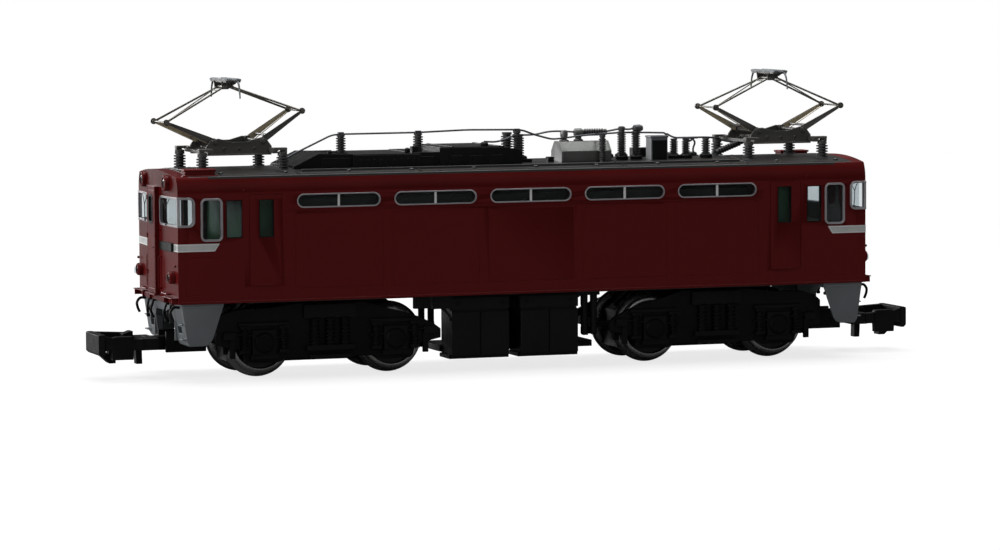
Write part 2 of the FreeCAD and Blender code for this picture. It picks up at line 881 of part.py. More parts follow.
def chassis_profile():
    half = d.chassis_half_length
    top = d.chassis_top_z
    slope = 5.6
    return [
        (-half, d.chassis_floor_z), (half, d.chassis_floor_z), (half, top - slope),
        (half - slope, top), (-half + slope, top), (-half, top - slope),
    ]


def screw_places():
    return [(-19.0, 18.9), (0.0, 19.3), (19.0, 18.9)]


def chassis_half(label, side):
    """One half of the split die-cast frame, hollowed for the drive line."""
    blank = prism("XZ_Plane", 0, d.chassis_half_width * 2, chassis_profile(), True)
    wide = span(d.chassis_split, 9, side)
    half = common(blank, box((-40, 40), wide, (5, 25)))
    length = d.flywheel_bore_half_length
    reach = d.worm_bore_half_length
    hollows = [
        cylinder("X", d.motor_bore_radius, (-length, 0, d.drive_z), length * 2),
        cylinder("X", d.worm_bore_radius, (-reach, 0, d.drive_z), reach * 2),
    ]
    for _, end in ENDS:
        x = end * d.bogie_x
        hollows.append(cylinder(
            "Z", d.collar_radius + d.running_gap, (x, 0, d.chassis_floor_z - 1), d.collar_top_z - 7.5))
        hollows.append(box((x - 4.0, x + 4.0), (-1.6, 1.6), (9.5, 11.6)))
    for x, z in screw_places():
        hollows.append(cylinder("Y", d.screw_shank_radius + 0.05, (x, -9, z), 18))
    return sub_part(label, cut(half, *hollows))


def chassis_screws():
    screws = []
    half = d.chassis_half_width
    for x, z in screw_places():
        shank = cylinder("Y", d.screw_shank_radius, (x, -half, z), half * 2 - 0.5)
        head = cylinder("Y", d.screw_head_radius, (x, -half - d.screw_head_height, z), d.screw_head_height)
        slot = box((x - 0.8, x + 0.8), (-half - 0.8, -half - 0.35), (z - 0.12, z + 0.12))
        screws.append(cut(fuse(shank, head), slot))
    return sub_part("chassis_screws", group(*screws))


# Lengths along X of the cases on each side; the two sides are a half turn of each other.
UNDERFRAME_CASES = {
    -1: ((-10.0, -2.3), (-1.1, 6.7)),
    1: ((-5.2, 1.1), (2.3, 10.0)),
}
CYLINDER_PLACES = (7.65, 8.9)
CYLINDER_RADIUS = 0.45
CYLINDER_LOW_Z = 3.2


def underframe_boxes():
    """Hollow moulding of transformer and battery boxes between the bogies."""
    low = d.box_low_z
    top = d.chassis_floor_z
    half = d.box_half_width
    spine = d.spine_half_width
    shapes = [box((-6.4, 6.4), (-spine, spine), (low + 0.6, top))]
    root = spine - 0.1
    for side, cases in UNDERFRAME_CASES.items():
        for x_span in cases:
            shapes.append(box(x_span, span(root, half, side), (low, top)))
    shapes.append(box((-10.0, 10.0), (-spine, spine), (low + 0.6, low + 1.4)))
    for side in SIDES:
        shelf = span(4.9, 9.6, -side)
        shapes.append(box(shelf, span(root, half - 0.5, side), (top - 0.6, top)))
        for x in CYLINDER_PLACES:
            foot = (-side * x, side * (half - 0.9), CYLINDER_LOW_Z)
            shapes.append(cylinder("Z", CYLINDER_RADIUS, foot, top - CYLINDER_LOW_Z))
    well = box((-9.4, 9.4), (-5.6, 5.6), (d.well_floor_z, top + 1))
    return sub_part("underframe_boxes", cut(fuse(*shapes), well))


def light_boards():
    """Circuit board over each cab end with its lamp."""
    board = box((22.0, 40.0), (-3.2, 3.2), (d.chassis_top_z, d.chassis_top_z + 0.5))
    lamp = box((40.0, 40.9), (-0.9, 0.9), (d.chassis_top_z, 22.4))
    part = fuse(board, lamp)
    return sub_part("light_boards", group(part, mirrored(part, "X")))


# ---------------------------------------------------------------- motor and drive line

def motor_can():
    half = d.can_half_length
    shell = cut(
        cylinder("X", d.can_radius, (-half, 0, d.drive_z), half * 2),
        cylinder("X", d.can_radius - d.can_wall, (-half + d.can_wall, 0, d.drive_z), half * 2),
        cylinder("X", d.shaft_radius + d.running_gap, (-half - 1, 0, d.drive_z), 4))
    return sub_part("motor_can", shell)


def motor_magnets():
    half = d.magnet_half_length
    ring = cut(
        cylinder("X", d.can_radius - d.can_wall, (-half, 0, d.drive_z), half * 2),
        cylinder("X", d.magnet_inner_radius, (-half - 1, 0, d.drive_z), half * 2 + 2))
    gap = box((-9, 9), (-6, 6), (d.drive_z - 1.6, d.drive_z + 1.6))
    return sub_part("motor_magnets", cut(ring, gap))


def motor_end_cap():
    """Insulated cap with the two brush arms that reach the commutator."""
    x = d.can_half_length
    disc = cylinder("X", d.can_radius, (x, 0, d.drive_z), 1.1)
    arms = [
        box((x - 2.1, x), span(d.commutator_radius + 0.06, 3.2, side), (d.drive_z - 0.5, d.drive_z + 0.5))
        for side in SIDES]
    bore = cylinder("X", d.shaft_radius + d.running_gap, (x - 3, 0, d.drive_z), 6)
    return sub_part("motor_end_cap", cut(fuse(disc, *arms), bore))


def motor_shaft():
    half = d.shaft_half_length
    return sub_part("motor_shaft", cylinder("X", d.shaft_radius, (-half, 0, d.drive_z), half * 2))


def armature():
    """Slotted core and commutator, both pressed on the shaft."""
    body = doc.addObject("PartDesign::Body", "Core")
    ring = new_sketch(body, "YZ_Plane")
    add_circle(ring, d.core_radius)
    add_circle(ring, d.shaft_radius)
    add_pad(body, ring, d.core_half_length * 2, True)
    doc.recompute()
    slot_sketch = new_sketch(body, "YZ_Plane")
    half = 0.35
    add_outline(slot_sketch, [
        (-half, 2.0), (half, 2.0), (half, d.core_radius + 1), (-half, d.core_radius + 1)])
    slot = body.newObject("PartDesign::Pocket", "Slot")
    slot.Profile = slot_sketch
    slot.Type = 1
    slot.Midplane = True
    pattern = body.newObject("PartDesign::PolarPattern", "Slots")
    pattern.Originals = [slot]
    pattern.Axis = (slot_sketch, ["N_Axis"])
    pattern.Angle = 360
    pattern.Occurrences = 5
    body.Tip = pattern
    bind_place(body, 0, 0, d.drive_z)
    commutator = cut(
        cylinder("X", d.commutator_radius, (5.9, 0, d.drive_z), 1.7),
        cylinder("X", d.shaft_radius, (5, 0, d.drive_z), 4))
    return sub_part("armature", group(body, commutator))


def flywheels():
    x = d.flywheel_inner_x
    length = d.flywheel_outer_x - x
    wheel = cut(
        cylinder("X", d.flywheel_radius, (x, 0, d.drive_z), length),
        cylinder("X", d.shaft_radius, (x - 1, 0, d.drive_z), length + 2))
    return sub_part("flywheels", group(wheel, mirrored(wheel, "X")))


def universal_couplings():
    x = d.coupling_inner_x
    length = d.coupling_outer_x - x
    sleeve = cut(
        cylinder("X", d.coupling_radius, (x, 0, d.drive_z), length),
        cylinder("X", d.shaft_radius, (x - 1, 0, d.drive_z), d.shaft_half_length - x + 1),
        cylinder("X", d.shaft_radius, (d.worm_shaft_inner_x, 0, d.drive_z), 4),
        box((x + 1.6, x + 2.9), (-0.4, 0.4), (d.drive_z - 3, d.drive_z + 3)))
    return sub_part("universal_couplings", group(sleeve, mirrored(sleeve, "X")))


def worm_threads():
    """Right-handed single-start thread on a core, centred over the origin."""
    pitch = d.gear_module.number * math.pi
    root = d.worm_pitch_radius.number - d.gear_dedendum.number
    tip = d.worm_pitch_radius.number + d.gear_addendum.number
    half = d.worm_half_length.number
    turns = 2 * half / pitch - 1
    narrow = d.worm_thread_width.number / 2 - 0.1
    wide = d.worm_thread_width.number / 2 + 0.12
    start = -pitch * turns / 2 + pitch / 2
    helix = Part.makeHelix(pitch, pitch * turns, root - 0.1)
    profile = Part.makePolygon([
        VECTOR(root - 0.1, 0, -wide), VECTOR(tip, 0, -narrow),
        VECTOR(tip, 0, narrow), VECTOR(root - 0.1, 0, wide), VECTOR(root - 0.1, 0, -wide)])
    thread = Part.Wire(helix).makePipeShell([profile], True, True)
    thread.translate(VECTOR(0, 0, start - pitch / 2))
    core = Part.makeCylinder(root, 2 * half, VECTOR(0, 0, -half))
    return core.fuse(thread)


def worms():
    """Worm over each bogie, on its own stub of shaft."""
    shapes = []
    for _, end in ENDS:
        thread = doc.addObject("Part::Feature", "Worm")
        thread.Shape = worm_threads()
        gap_down = FreeCAD.Rotation(VECTOR(0, 0, 1), 180)
        lie_down = FreeCAD.Rotation(VECTOR(0, 1, 0), 90)
        place = VECTOR(end * d.bogie_x.number, 0, d.drive_z.number)
        thread.Placement = FreeCAD.Placement(place, lie_down * gap_down)
        low = d.worm_shaft_inner_x
        stub = cylinder(
            "X", d.shaft_radius, (low if end > 0 else -d.worm_shaft_outer_x, 0, d.drive_z),
            d.worm_shaft_outer_x - low)
        shapes.append(fuse(thread, stub))
    return sub_part("worms", group(*shapes))


def worm_bearings():
    bearings = []
    for offset in (-d.bearing_offset - d.bearing_length, d.bearing_offset):
        x = d.bogie_x + offset
        ring = cut(
            cylinder("X", d.worm_bore_radius, (x, 0, d.drive_z), d.bearing_length),
            cylinder("X", d.shaft_radius + d.running_gap, (x - 1, 0, d.drive_z), 4))
        bearings += [ring, mirrored(ring, "X")]
    return sub_part("worm_bearings", group(*bearings))


# ---------------------------------------------------------------- bogies

def gear(teeth, bore, centre, tooth_angle):
    """Spur gear on the Y axis with straight-sided teeth, one of them at tooth_angle."""
    pitch_radius = d.gear_module * teeth / 2
    root = pitch_radius - d.gear_dedendum
    tip = pitch_radius + d.gear_addendum
    body = doc.addObject("PartDesign::Body", "Gear")
    blank = new_sketch(body, "XZ_Plane")
    add_circle(blank, root)
    add_circle(blank, bore)
    add_pad(body, blank, d.gear_half_face * 2, True)
    tooth_sketch = new_sketch(body, "XZ_Plane")
    wide = d.gear_tooth_width / 2 + 0.08
    narrow = d.gear_tooth_width / 2 - 0.1
    add_outline(tooth_sketch, [(root - 0.1, -wide), (tip, -narrow), (tip, narrow), (root - 0.1, wide)])
    tooth = add_pad(body, tooth_sketch, d.gear_half_face * 2, True)
    pattern = body.newObject("PartDesign::PolarPattern", "Teeth")
    pattern.Originals = [tooth]
    pattern.Axis = (tooth_sketch, ["N_Axis"])
    pattern.Angle = 360
    bind(pattern, "Occurrences", teeth)
    body.Tip = pattern
    body.Placement = FreeCAD.Placement(VECTOR(), FreeCAD.Rotation(VECTOR(0, -1, 0), tooth_angle))
    bind_place(body, *centre)
    return body


def meshed_angle(driver, driven):
    """Tooth angle that puts the driven gear's gap on the driver's tooth."""
    teeth_a, angle_a, x_a, z_a = driver
    teeth_b, x_b, z_b = driven
    line = math.degrees(math.atan2(z_b - z_a, x_b - x_a))
    return (teeth_a * (line - angle_a) + teeth_b * (line + 180) - 180) / teeth_b


def idler_place():
    """Offset and height of the idler that touches both the top and the axle gear."""
    module = d.gear_module.number
    reach_top = module * (d.top_gear_teeth.number + d.idler_teeth.number) / 2
    reach_axle = module * (d.axle_gear_teeth.number + d.idler_teeth.number) / 2
    rise = d.axle_z.number - d.top_gear_z.number
    run = d.axle_offset.number
    gap = math.hypot(run, rise)
    along = (reach_top ** 2 - reach_axle ** 2 + gap ** 2) / (2 * gap)
    aside = math.sqrt(reach_top ** 2 - along ** 2)
    x = (run * along + rise * aside) / gap
    z = d.top_gear_z.number + (rise * along - run * aside) / gap
    return x, z


def wheel_profile():
    """Half section of one wheel as (radius, Y)."""
    back = d.wheel_back_y
    face = d.wheel_face_y
    tread = d.wheel_radius
    inner = tread - d.wheel_rim
    return [
        (d.shaft_radius, back), (d.flange_radius - 0.1, back), (d.flange_radius, back + 0.12),
        (d.flange_radius, back + 0.3), (tread, back + 0.6), (tread, face), (inner, face),
        (inner - 0.1, face - 0.5), (d.hub_radius, face - 0.6), (d.hub_radius, face - 0.1),
        (d.shaft_radius, face - 0.1),
    ]


def wheelset(label, x, tooth_angle):
    """Axle, two wheels and the axle gear, pressed together."""
    wheel = turned(wheel_profile())
    bind_place(wheel, x, 0, d.axle_z)
    far = mirrored(wheel, "Y")
    axle = cylinder("Y", d.shaft_radius, (x, -d.wheel_face_y, d.axle_z), d.wheel_face_y * 2)
    axle_gear = gear(d.axle_gear_teeth, d.shaft_radius, (x, 0, d.axle_z), tooth_angle)
    return sub_part(label, group(axle, wheel, far, axle_gear))


def gear_train(end_name, end):
    """Top gear, two idlers and two driven wheelsets of one bogie."""
    centre_x = end * d.bogie_x.number
    top = (d.top_gear_teeth.number, 90.0, centre_x, d.top_gear_z.number)
    top_body = gear(
        d.top_gear_teeth, d.gear_pin_radius + d.running_gap, (end * d.bogie_x, 0, d.top_gear_z), 90)
    sub_part(end_name + "_top_gear", top_body)
    offset, idler_z = idler_place()
    for place, sign in (("outer", 1), ("inner", -1)):
        idler_x = centre_x + end * sign * offset
        angle = meshed_angle(top, (d.idler_teeth.number, idler_x, idler_z))
        idler = gear(d.idler_teeth, d.gear_pin_radius + d.running_gap, (idler_x, 0, idler_z), angle)
        sub_part("%s_%s_idler" % (end_name, place), idler)
        axle_x = end * (d.bogie_x + sign * d.axle_offset)
        driver = (d.idler_teeth.number, angle, idler_x, idler_z)
        axle_angle = meshed_angle(
            driver, (d.axle_gear_teeth.number, axle_x.number, d.axle_z.number))
        wheelset("%s_%s_wheelset" % (end_name, place), axle_x, axle_angle)


def gearbox(end_name, end):
    """Centre block of a bogie: turntable collar, gear slot, gear pins and axle slots."""
    x = end * d.bogie_x
    half = d.gearbox_half_length
    width = d.gearbox_half_width
    block = box((x - half, x + half), (-width, width), (d.gearbox_low_z, d.gearbox_top_z))
    collar = cylinder(
        "Z", d.collar_radius, (x, 0, d.gearbox_top_z), d.collar_top_z - d.gearbox_top_z)
    slot_half = d.gear_slot_half_width
    hollows = [box((x - half + 0.5, x + half - 0.5), (-slot_half, slot_half), (0, 12))]
    axle_hole = d.shaft_radius + d.running_gap
    for sign in SIDES:
        tip = x + sign * (half + 0.1)
        slope = [(x + sign * 8.4, d.gearbox_top_z + 0.1), (tip, d.gearbox_top_z + 0.1), (tip, 5.6)]
        hollows.append(prism("XZ_Plane", 0, width * 2 + 1, slope, True))
        axle_x = x + sign * d.axle_offset
        hollows.append(cylinder("Y", axle_hole, (axle_x, -5, d.axle_z), 10))
        hollows.append(box((axle_x - axle_hole, axle_x + axle_hole), (-5, 5), (0, d.axle_z)))
    offset, idler_z = idler_place()
    pins = [cylinder("Y", d.gear_pin_radius, (x, -1.5, d.top_gear_z), 3)]
    for sign in SIDES:
        pins.append(cylinder("Y", d.gear_pin_radius, (x + sign * offset, -1.5, idler_z), 3))
    return sub_part(end_name + "_bogie_gearbox", fuse(cut(fuse(block, collar), *hollows), *pins))


def keeper_plate(end_name, end):
    """Bottom cover that holds the axles up in their slots."""
    x = end * d.bogie_x
    half = d.gearbox_half_length
    width = d.gearbox_half_width
    top = d.gearbox_low_z
    plate = box((x - half, x + half), (-width, width), (d.keeper_low_z, top))
    shapes = [plate]
    hollows = []
    gear_reach = d.gear_module * d.axle_gear_teeth / 2 + d.gear_addendum + 0.2
    for sign in SIDES:
        axle_x = x + sign * d.axle_offset
        for side in SIDES:
            pad = span(d.gear_slot_half_width + 0.1, width, side)
            shapes.append(box(
                (axle_x - 0.7, axle_x + 0.7), pad, (top - 0.1, d.axle_z - d.shaft_radius - d.running_gap)))
        hollows.append(box(
            (axle_x - gear_reach, axle_x + gear_reach), (-d.gear_slot_half_width, d.gear_slot_half_width),
            (0, 5)))
    return sub_part(end_name + "_keeper_plate", cut(fuse(*shapes), *hollows))


def pickup_strips(end_name, end):
    """Bronze strips beside the gearbox, just behind the wheel backs."""
    x = end * d.bogie_x
    inner = d.gearbox_half_width
    strips = []
    for side in SIDES:
        y_span = span(inner, inner + d.pickup_thickness, side)
        rail = box((x - 9.6, x + 9.6), y_span, (4.75, 5.35))
        tab = box((x - 0.8, x + 0.8), y_span, (5.35, d.gearbox_top_z))
        strips.append(fuse(rail, tab))
    return sub_part(end_name + "_pickup_strips", group(*strips))


def frame_outline(end):
    """Side view of one bogie side frame: deep sides, with the top sloping down to the inner end."""
    x = end * d.bogie_x
    half = d.frame_half_length
    low = d.frame_low_z
    top = d.frame_top_z
    leg = d.axle_offset + d.frame_leg_half
    belly = low + d.frame_belly_rise
    heel = low + d.frame_heel_rise
    foot = leg - d.frame_foot_length
    outward = [
        (-half, heel), (-leg, heel), (-leg, low), (-foot, low), (-foot, belly),
        (foot, belly), (foot, low), (leg, low), (leg, heel), (half, heel),
        (half, top - 1.0), (half - 1.0, top), (-4.4, top), (-9.8, top - 1.0), (-half + 1.2, top - 2.3),
        (-half, top - 3.2),
    ]
    return [(x + end * along, z) for along, z in outward]


def side_frames(end_name, end):
    """Bogie side frames, joined by a centre bridge and end beams, with the coupler pocket."""
    x = end * d.bogie_x
    inner = d.frame_inner_y
    outer = d.frame_outer_y
    plates = []
    for side in SIDES:
        y_span = span(inner, outer, side)
        plates.append(common(
            prism("XZ_Plane", 0, outer * 2 + 2, frame_outline(end), True),
            box((x - 20, x + 20), y_span, (0, 10))))
    bridge_width = d.gearbox_half_width + d.pickup_thickness
    bridge = (x - d.bridge_half_length, x + d.bridge_half_length)
    for side in SIDES:
        reach = span(bridge_width, inner + 0.2, side)
        plates.append(box(bridge, reach, (3.0, 4.6)))
        plates.append(box(bridge, reach, (5.5, 7.5)))
    for sign in SIDES:
        low, high = span(d.end_beam_inner_x, d.frame_half_length, sign)
        beam_top = d.outer_beam_top_z if sign == end else d.inner_beam_top_z
        beam = (x + low, x + high)
        plates.append(box(beam, (-inner - 0.2, inner + 0.2), (d.end_beam_low_z, beam_top)))
    tongue_low, tongue_high = span(d.gearbox_half_length, d.end_beam_inner_x + 0.2, end)
    tongue_width = d.tongue_half_width
    plates.append(box(
        (x + tongue_low, x + tongue_high), (-tongue_width, tongue_width), (d.end_beam_low_z, d.tongue_top_z)))
    pocket_low, pocket_high = span(d.frame_half_length - 0.2, d.coupler_pivot_x + 1.1, end)
    width = d.pocket_half_width
    pocket = box((x + pocket_low, x + pocket_high), (-width, width), (d.pocket_low_z, d.pocket_top_z))
    hollow_low, hollow_high = span(d.coupler_pivot_x - 1.5, d.coupler_pivot_x + 3, end)
    bore = d.pocket_bore_half_width
    hollow = box((x + hollow_low, x + hollow_high), (-bore, bore), (d.pocket_low_z - 1, d.pocket_top_z + 1))
    pin = cylinder(
        "Y", d.coupler_pin_radius, (x + end * d.coupler_pivot_x, -1.8, d.coupler_pivot_z), 3.6)
    return sub_part(end_name + "_bogie_side_frames", fuse(*plates, cut(pocket, hollow), pin))


def coupler(end_name, end):
    """Hooked coupler: hub on the pocket's pin, shank, wide buffer bar, hook and tail."""
    x = end * d.bogie_x
    half = d.coupler_half_width
    tip = d.coupler_tip_x
    pivot = d.coupler_pivot_x
    z = d.coupler_pivot_z
    hub = cylinder("Y", 0.95, (x + end * pivot, -1.35, z), 2.7)

    def block(low, high, y_span, z_span):
        first, last = span(low, high, end)
        return box((x + first, x + last), y_span, z_span)

    shank = block(pivot, tip - 3.0, (-1.0, 1.0), (z - 0.7, z + 0.7))
    plate = block(pivot + 1.9, tip - 0.8, (-half, half), (z - 0.9, z + 0.6))
    window = block(tip - 3.4, tip - 1.4, (-half + 0.9, half - 0.9), (0, 7))
    buffer_bar = block(tip - 1.0, tip, (-half, half), (d.coupler_low_z, d.coupler_top_z))
    arm_z = (d.coupler_low_z - 0.5, d.coupler_top_z - 0.3)
    near_arm = block(tip - 4.3, tip - 1.6, (-half, -half + 0.9), arm_z)
    hook = block(tip - 2.7, tip - 1.8, (-0.9, 0.9), (d.coupler_low_z - 1.1, z))
    tail = block(tip - 6.0, tip - 5.2, (-0.6, 0.6), (d.coupler_low_z - 1.3, z))
    floor = block(tip - 2.7, tip - 0.8, (-0.9, 0.9), (d.coupler_low_z, z - 0.2))
    bore = cylinder("Y", d.coupler_pin_radius + d.running_gap, (x + end * pivot, -4, z), 8)
    body = fuse(cut(fuse(hub, shank, plate), window, bore), buffer_bar, near_arm, floor, hook, tail)
    return sub_part(end_name + "_coupler", body)


# ---------------------------------------------------------------- pantographs

def rest_angles(end):
    """Angles above level, in degrees, of the front and rear arm pairs at rest."""
    if end > 0:
        return {1: (28.5, 24.0), -1: (28.5, 24.0)}
    return {1: (34.4, 20.0), -1: (22.5, 28.3)}


def pantograph_base(end_name, end):
    """Frame on four insulators with the two pivot shafts of the lower arms."""
    x = end * d.pantograph_x
    low = d.insulator_top_z
    top = low + d.base_beam_height
    reach = d.insulator_y + 0.5
    shapes = []
    for along in SIDES:
        beam_x = x + along * d.insulator_x
        shapes.append(box((beam_x - 0.45, beam_x + 0.45), (-reach, reach), (low, top)))
        pivot_x = x + along * d.base_pivot_x
        shapes.append(cylinder("Y", d.pivot_pin_radius, (pivot_x, -4.0, d.pivot_z), 8.0))
        for side in SIDES:
            y_span = span(3.45, 3.95, side)
            shapes.append(box((pivot_x - 0.5, pivot_x + 0.5), y_span, (low, d.pivot_z + 0.4)))
    for side in SIDES:
        shapes.append(box((x - d.insulator_x, x + d.insulator_x), span(3.45, 3.95, side), (low, top)))
    return sub_part(end_name + "_pantograph_base", fuse(*shapes))


def arm_place(end, along):
    """Knuckle and head pivot of one arm pair, from its rest angles."""
    alpha, beta = [math.radians(angle) for angle in rest_angles(end)[along]]
    x = end * d.pantograph_x.number + along * d.base_pivot_x.number
    knuckle_x = x + along * d.lower_arm.number * math.cos(alpha)
    knuckle_z = d.pivot_z.number + d.lower_arm.number * math.sin(alpha)
    head_x = knuckle_x - along * d.upper_arm.number * math.cos(beta)
    head_z = knuckle_z + d.upper_arm.number * math.sin(beta)
    return (x, d.pivot_z.number), (knuckle_x, knuckle_z), (head_x, head_z)


def lower_arm(label, end, along):
    """Pair of tapered side plates with rings at both ends and a cross tube."""
    base, knuckle, _ = arm_place(end, along)
    alpha = rest_angles(end)[along][0]
    thick = d.arm_thickness
    length = d.lower_arm
    pieces = []
    for side in SIDES:
        low = side * d.arm_y - thick / 2
        plate = prism("XZ_Plane", 0, thick, [(0, -0.45), (length, -0.25), (length, 0.25), (0, 0.45)], True)
        bind_place(plate, 0, side * d.arm_y, 0)
        pieces.append(plate)
        pieces.append(cylinder("Y", 0.6, (0, low, 0), thick))
        pieces.append(cylinder("Y", 0.5, (length, low, 0), thick))
    pieces.append(cylinder("Y", 0.2, (length * 0.3, -d.arm_y, 0), d.arm_y * 2))
    bores = [
        cylinder("Y", d.pivot_pin_radius + d.running_gap, (0, -5, 0), 10),
        cylinder("Y", d.pivot_pin_radius + d.running_gap, (length, -5, 0), 10)]
    arm = cut(fuse(*pieces), *bores)
    lift = FreeCAD.Rotation(VECTOR(0, -1, 0), alpha if along > 0 else 180 - alpha)
    arm.Placement = FreeCAD.Placement(VECTOR(base[0], 0, base[1]), lift)
    return sub_part(label, arm)


def upper_arm(label, end, along):
    """Light tube frame that narrows to the collector head, with its knuckle shaft."""
    _, knuckle, head = arm_place(end, along)
    thin = 0.15
    shaft = cylinder("Y", d.pivot_pin_radius, (knuckle[0], -d.arm_y - 0.3, knuckle[1]), d.arm_y * 2 + 0.6)
    pieces = [shaft]
    top_y = 1.3
    for side in SIDES:
        start = (knuckle[0], side * 2.6, knuckle[1])
        pieces.append(bar(thin, start, (head[0], side * top_y, head[1])))
    if along < 0:
        pieces.append(cylinder("Y", 0.22, (head[0], -top_y - 0.2, head[1]), top_y * 2 + 0.4))
    middle = [(a + b) / 2 for a, b in zip(knuckle, head)]
    pieces.append(bar(thin, (knuckle[0], -2.6, knuckle[1]), (middle[0], 1.95, middle[1])))
    return sub_part(label, fuse(*pieces))


def pantograph_head(end_name, end):
    """Collector head: two strips along Y with down-bent horns and a cradle."""
    left = arm_place(end, -1)[2]
    right = arm_place(end, 1)[2]
    x = (left[0] + right[0]) / 2
    z = left[1]
    half = d.head_half_length
    flat = 4.3
    top = d.head_top_z
    pieces = []
    for along in SIDES:
        strip_x = x + along * 0.75
        pieces.append(box((strip_x - 0.3, strip_x + 0.3), (-flat, flat), (top - 0.35, top)))
        for side in SIDES:
            pieces.append(bar(
                0.17, (strip_x, side * (flat - 0.2), top - 0.2), (strip_x, side * (half - 0.2), top - 1.9)))
    for side in SIDES:
        pieces.append(box((x - 1.0, x + 1.0), span(1.6, 2.0, side), (top - 0.8, top - 0.3)))
        ear = box((left[0] - 0.35, left[0] + 0.35), span(1.6, 2.0, side), (z - 0.4, top - 0.3))
        pieces.append(ear)
        pieces.append(cylinder("Y", 0.4, (left[0], 1.6 if side > 0 else -2.0, z), 0.4))
    bore = cylinder("Y", 0.22 + d.running_gap, (left[0], -4, z), 8)
    return sub_part(end_name + "_pantograph_head", cut(fuse(*pieces), bore))


# ---------------------------------------------------------------- assembly

def build():
    body_shell()
    roof_panel()
    window_glazing()
    window_frames()
    light_guides()
    end_handrails()
    end_skirts()
    brake_hoses()
    interior_bulkheads()
    roof_equipment()
    roof_insulators()
    bus_wires()
    sub_part("whistle_covers", group(*opposite_corners(whistle_block(0))))
    chassis_half("chassis_left", 1)
    chassis_half("chassis_right", -1)
    chassis_screws()
    underframe_boxes()
    light_boards()
    motor_can()
    motor_magnets()
    motor_end_cap()
    motor_shaft()
    armature()
    flywheels()
    universal_couplings()
    worms()
    worm_bearings()
    for end_name, end in ENDS:
        gear_train(end_name, end)
        gearbox(end_name, end)
        keeper_plate(end_name, end)
        pickup_strips(end_name, end)
        side_frames(end_name, end)
        coupler(end_name, end)
        pantograph_base(end_name, end)
        for place, along in (("left", -1), ("right", 1)):
            lower_arm("%s_pantograph_lower_arm_%s" % (end_name, place), end, along)
            upper_arm("%s_pantograph_upper_arm_%s" % (end_name, place), end, along)
        pantograph_head(end_name, end)


def check_objects():
    for thing in doc.Objects:
        if "Invalid" in thing.State or "Error" in thing.State:
            raise RuntimeError("failed object: %s (%s)" % (thing.Name, thing.Label))
    for part in sub_parts:
        if part.Shape.isNull() or not part.Shape.isValid():
            raise RuntimeError("bad shape: " + part.Label)


def write_steps():
    os.makedirs("parts", exist_ok=True)
    for part in sub_parts:
        part.Shape.exportStep("parts/%s.step" % part.Label)


build()
doc.recompute()
check_objects()
write_steps()
print("sub-parts:", len(sub_parts))
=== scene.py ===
"""Looks of the model electric locomotive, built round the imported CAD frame.

Lengths in this script are millimetres; Shape.piece() turns them into metres.
The front is +X, the side towards the camera is -Y, and rail tops are at Z = 0.
"""

import json
import math

import bmesh
import bpy
from mathutils import Matrix, Vector


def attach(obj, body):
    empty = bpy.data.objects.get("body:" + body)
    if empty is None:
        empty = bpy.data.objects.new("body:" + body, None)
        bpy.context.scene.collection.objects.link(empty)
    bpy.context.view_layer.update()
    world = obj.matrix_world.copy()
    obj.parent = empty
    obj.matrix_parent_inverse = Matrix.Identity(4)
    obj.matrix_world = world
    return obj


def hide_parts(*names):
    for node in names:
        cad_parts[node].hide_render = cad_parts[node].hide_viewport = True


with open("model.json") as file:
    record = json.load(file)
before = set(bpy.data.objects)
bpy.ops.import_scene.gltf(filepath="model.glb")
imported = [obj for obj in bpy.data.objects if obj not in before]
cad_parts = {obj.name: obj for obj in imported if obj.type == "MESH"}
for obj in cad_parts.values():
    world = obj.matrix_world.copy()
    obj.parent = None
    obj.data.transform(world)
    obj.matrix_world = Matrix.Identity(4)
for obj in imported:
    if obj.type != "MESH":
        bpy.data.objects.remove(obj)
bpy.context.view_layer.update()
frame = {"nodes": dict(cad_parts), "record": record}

MM = 0.001
SIDES = (-1, 1)
ENDS = (("front", 1), ("rear", -1))


# ---------------------------------------------------------------- mesh building

def circle(radius, count, start=0.0):
    step = 2 * math.pi / count
    return [(radius * math.cos(start + step * k), radius * math.sin(start + step * k)) for k in range(count)]


def facing(profile, sign):
    """Lathe profile turned to face along a positive or negative axis."""
    return profile if sign > 0 else [(radius, -height) for radius, height in reversed(profile)]


def rounded_rectangle(low, high, radius, steps=6):
    """Outline points of a rectangle with round corners, anticlockwise."""
    (x0, z0), (x1, z1) = low, high
    centres = [
        (x1 - radius, z1 - radius, 0), (x0 + radius, z1 - radius, 90),
        (x0 + radius, z0 + radius, 180), (x1 - radius, z0 + radius, 270)]
    points = []
    for x, z, first in centres:
        for k in range(steps + 1):
            angle = math.radians(first + 90 * k / steps)
            points.append((x + radius * math.cos(angle), z + radius * math.sin(angle)))
    return points


def smooth_path(points, radius, steps=5):
    """Polyline with every inner bend rounded off."""
    path = [Vector(points[0])]
    for before, corner, after in zip(points, points[1:], points[2:]):
        before, corner, after = Vector(before), Vector(corner), Vector(after)
        back, ahead = before - corner, after - corner
        reach = min(radius, back.length * 0.45, ahead.length * 0.45)
        start = corner + back.normalized() * reach
        end = corner + ahead.normalized() * reach
        for k in range(steps + 1):
            t = k / steps
            path.append(start * (1 - t) ** 2 + corner * 2 * t * (1 - t) + end * t ** 2)
    path.append(Vector(points[-1]))
    return path


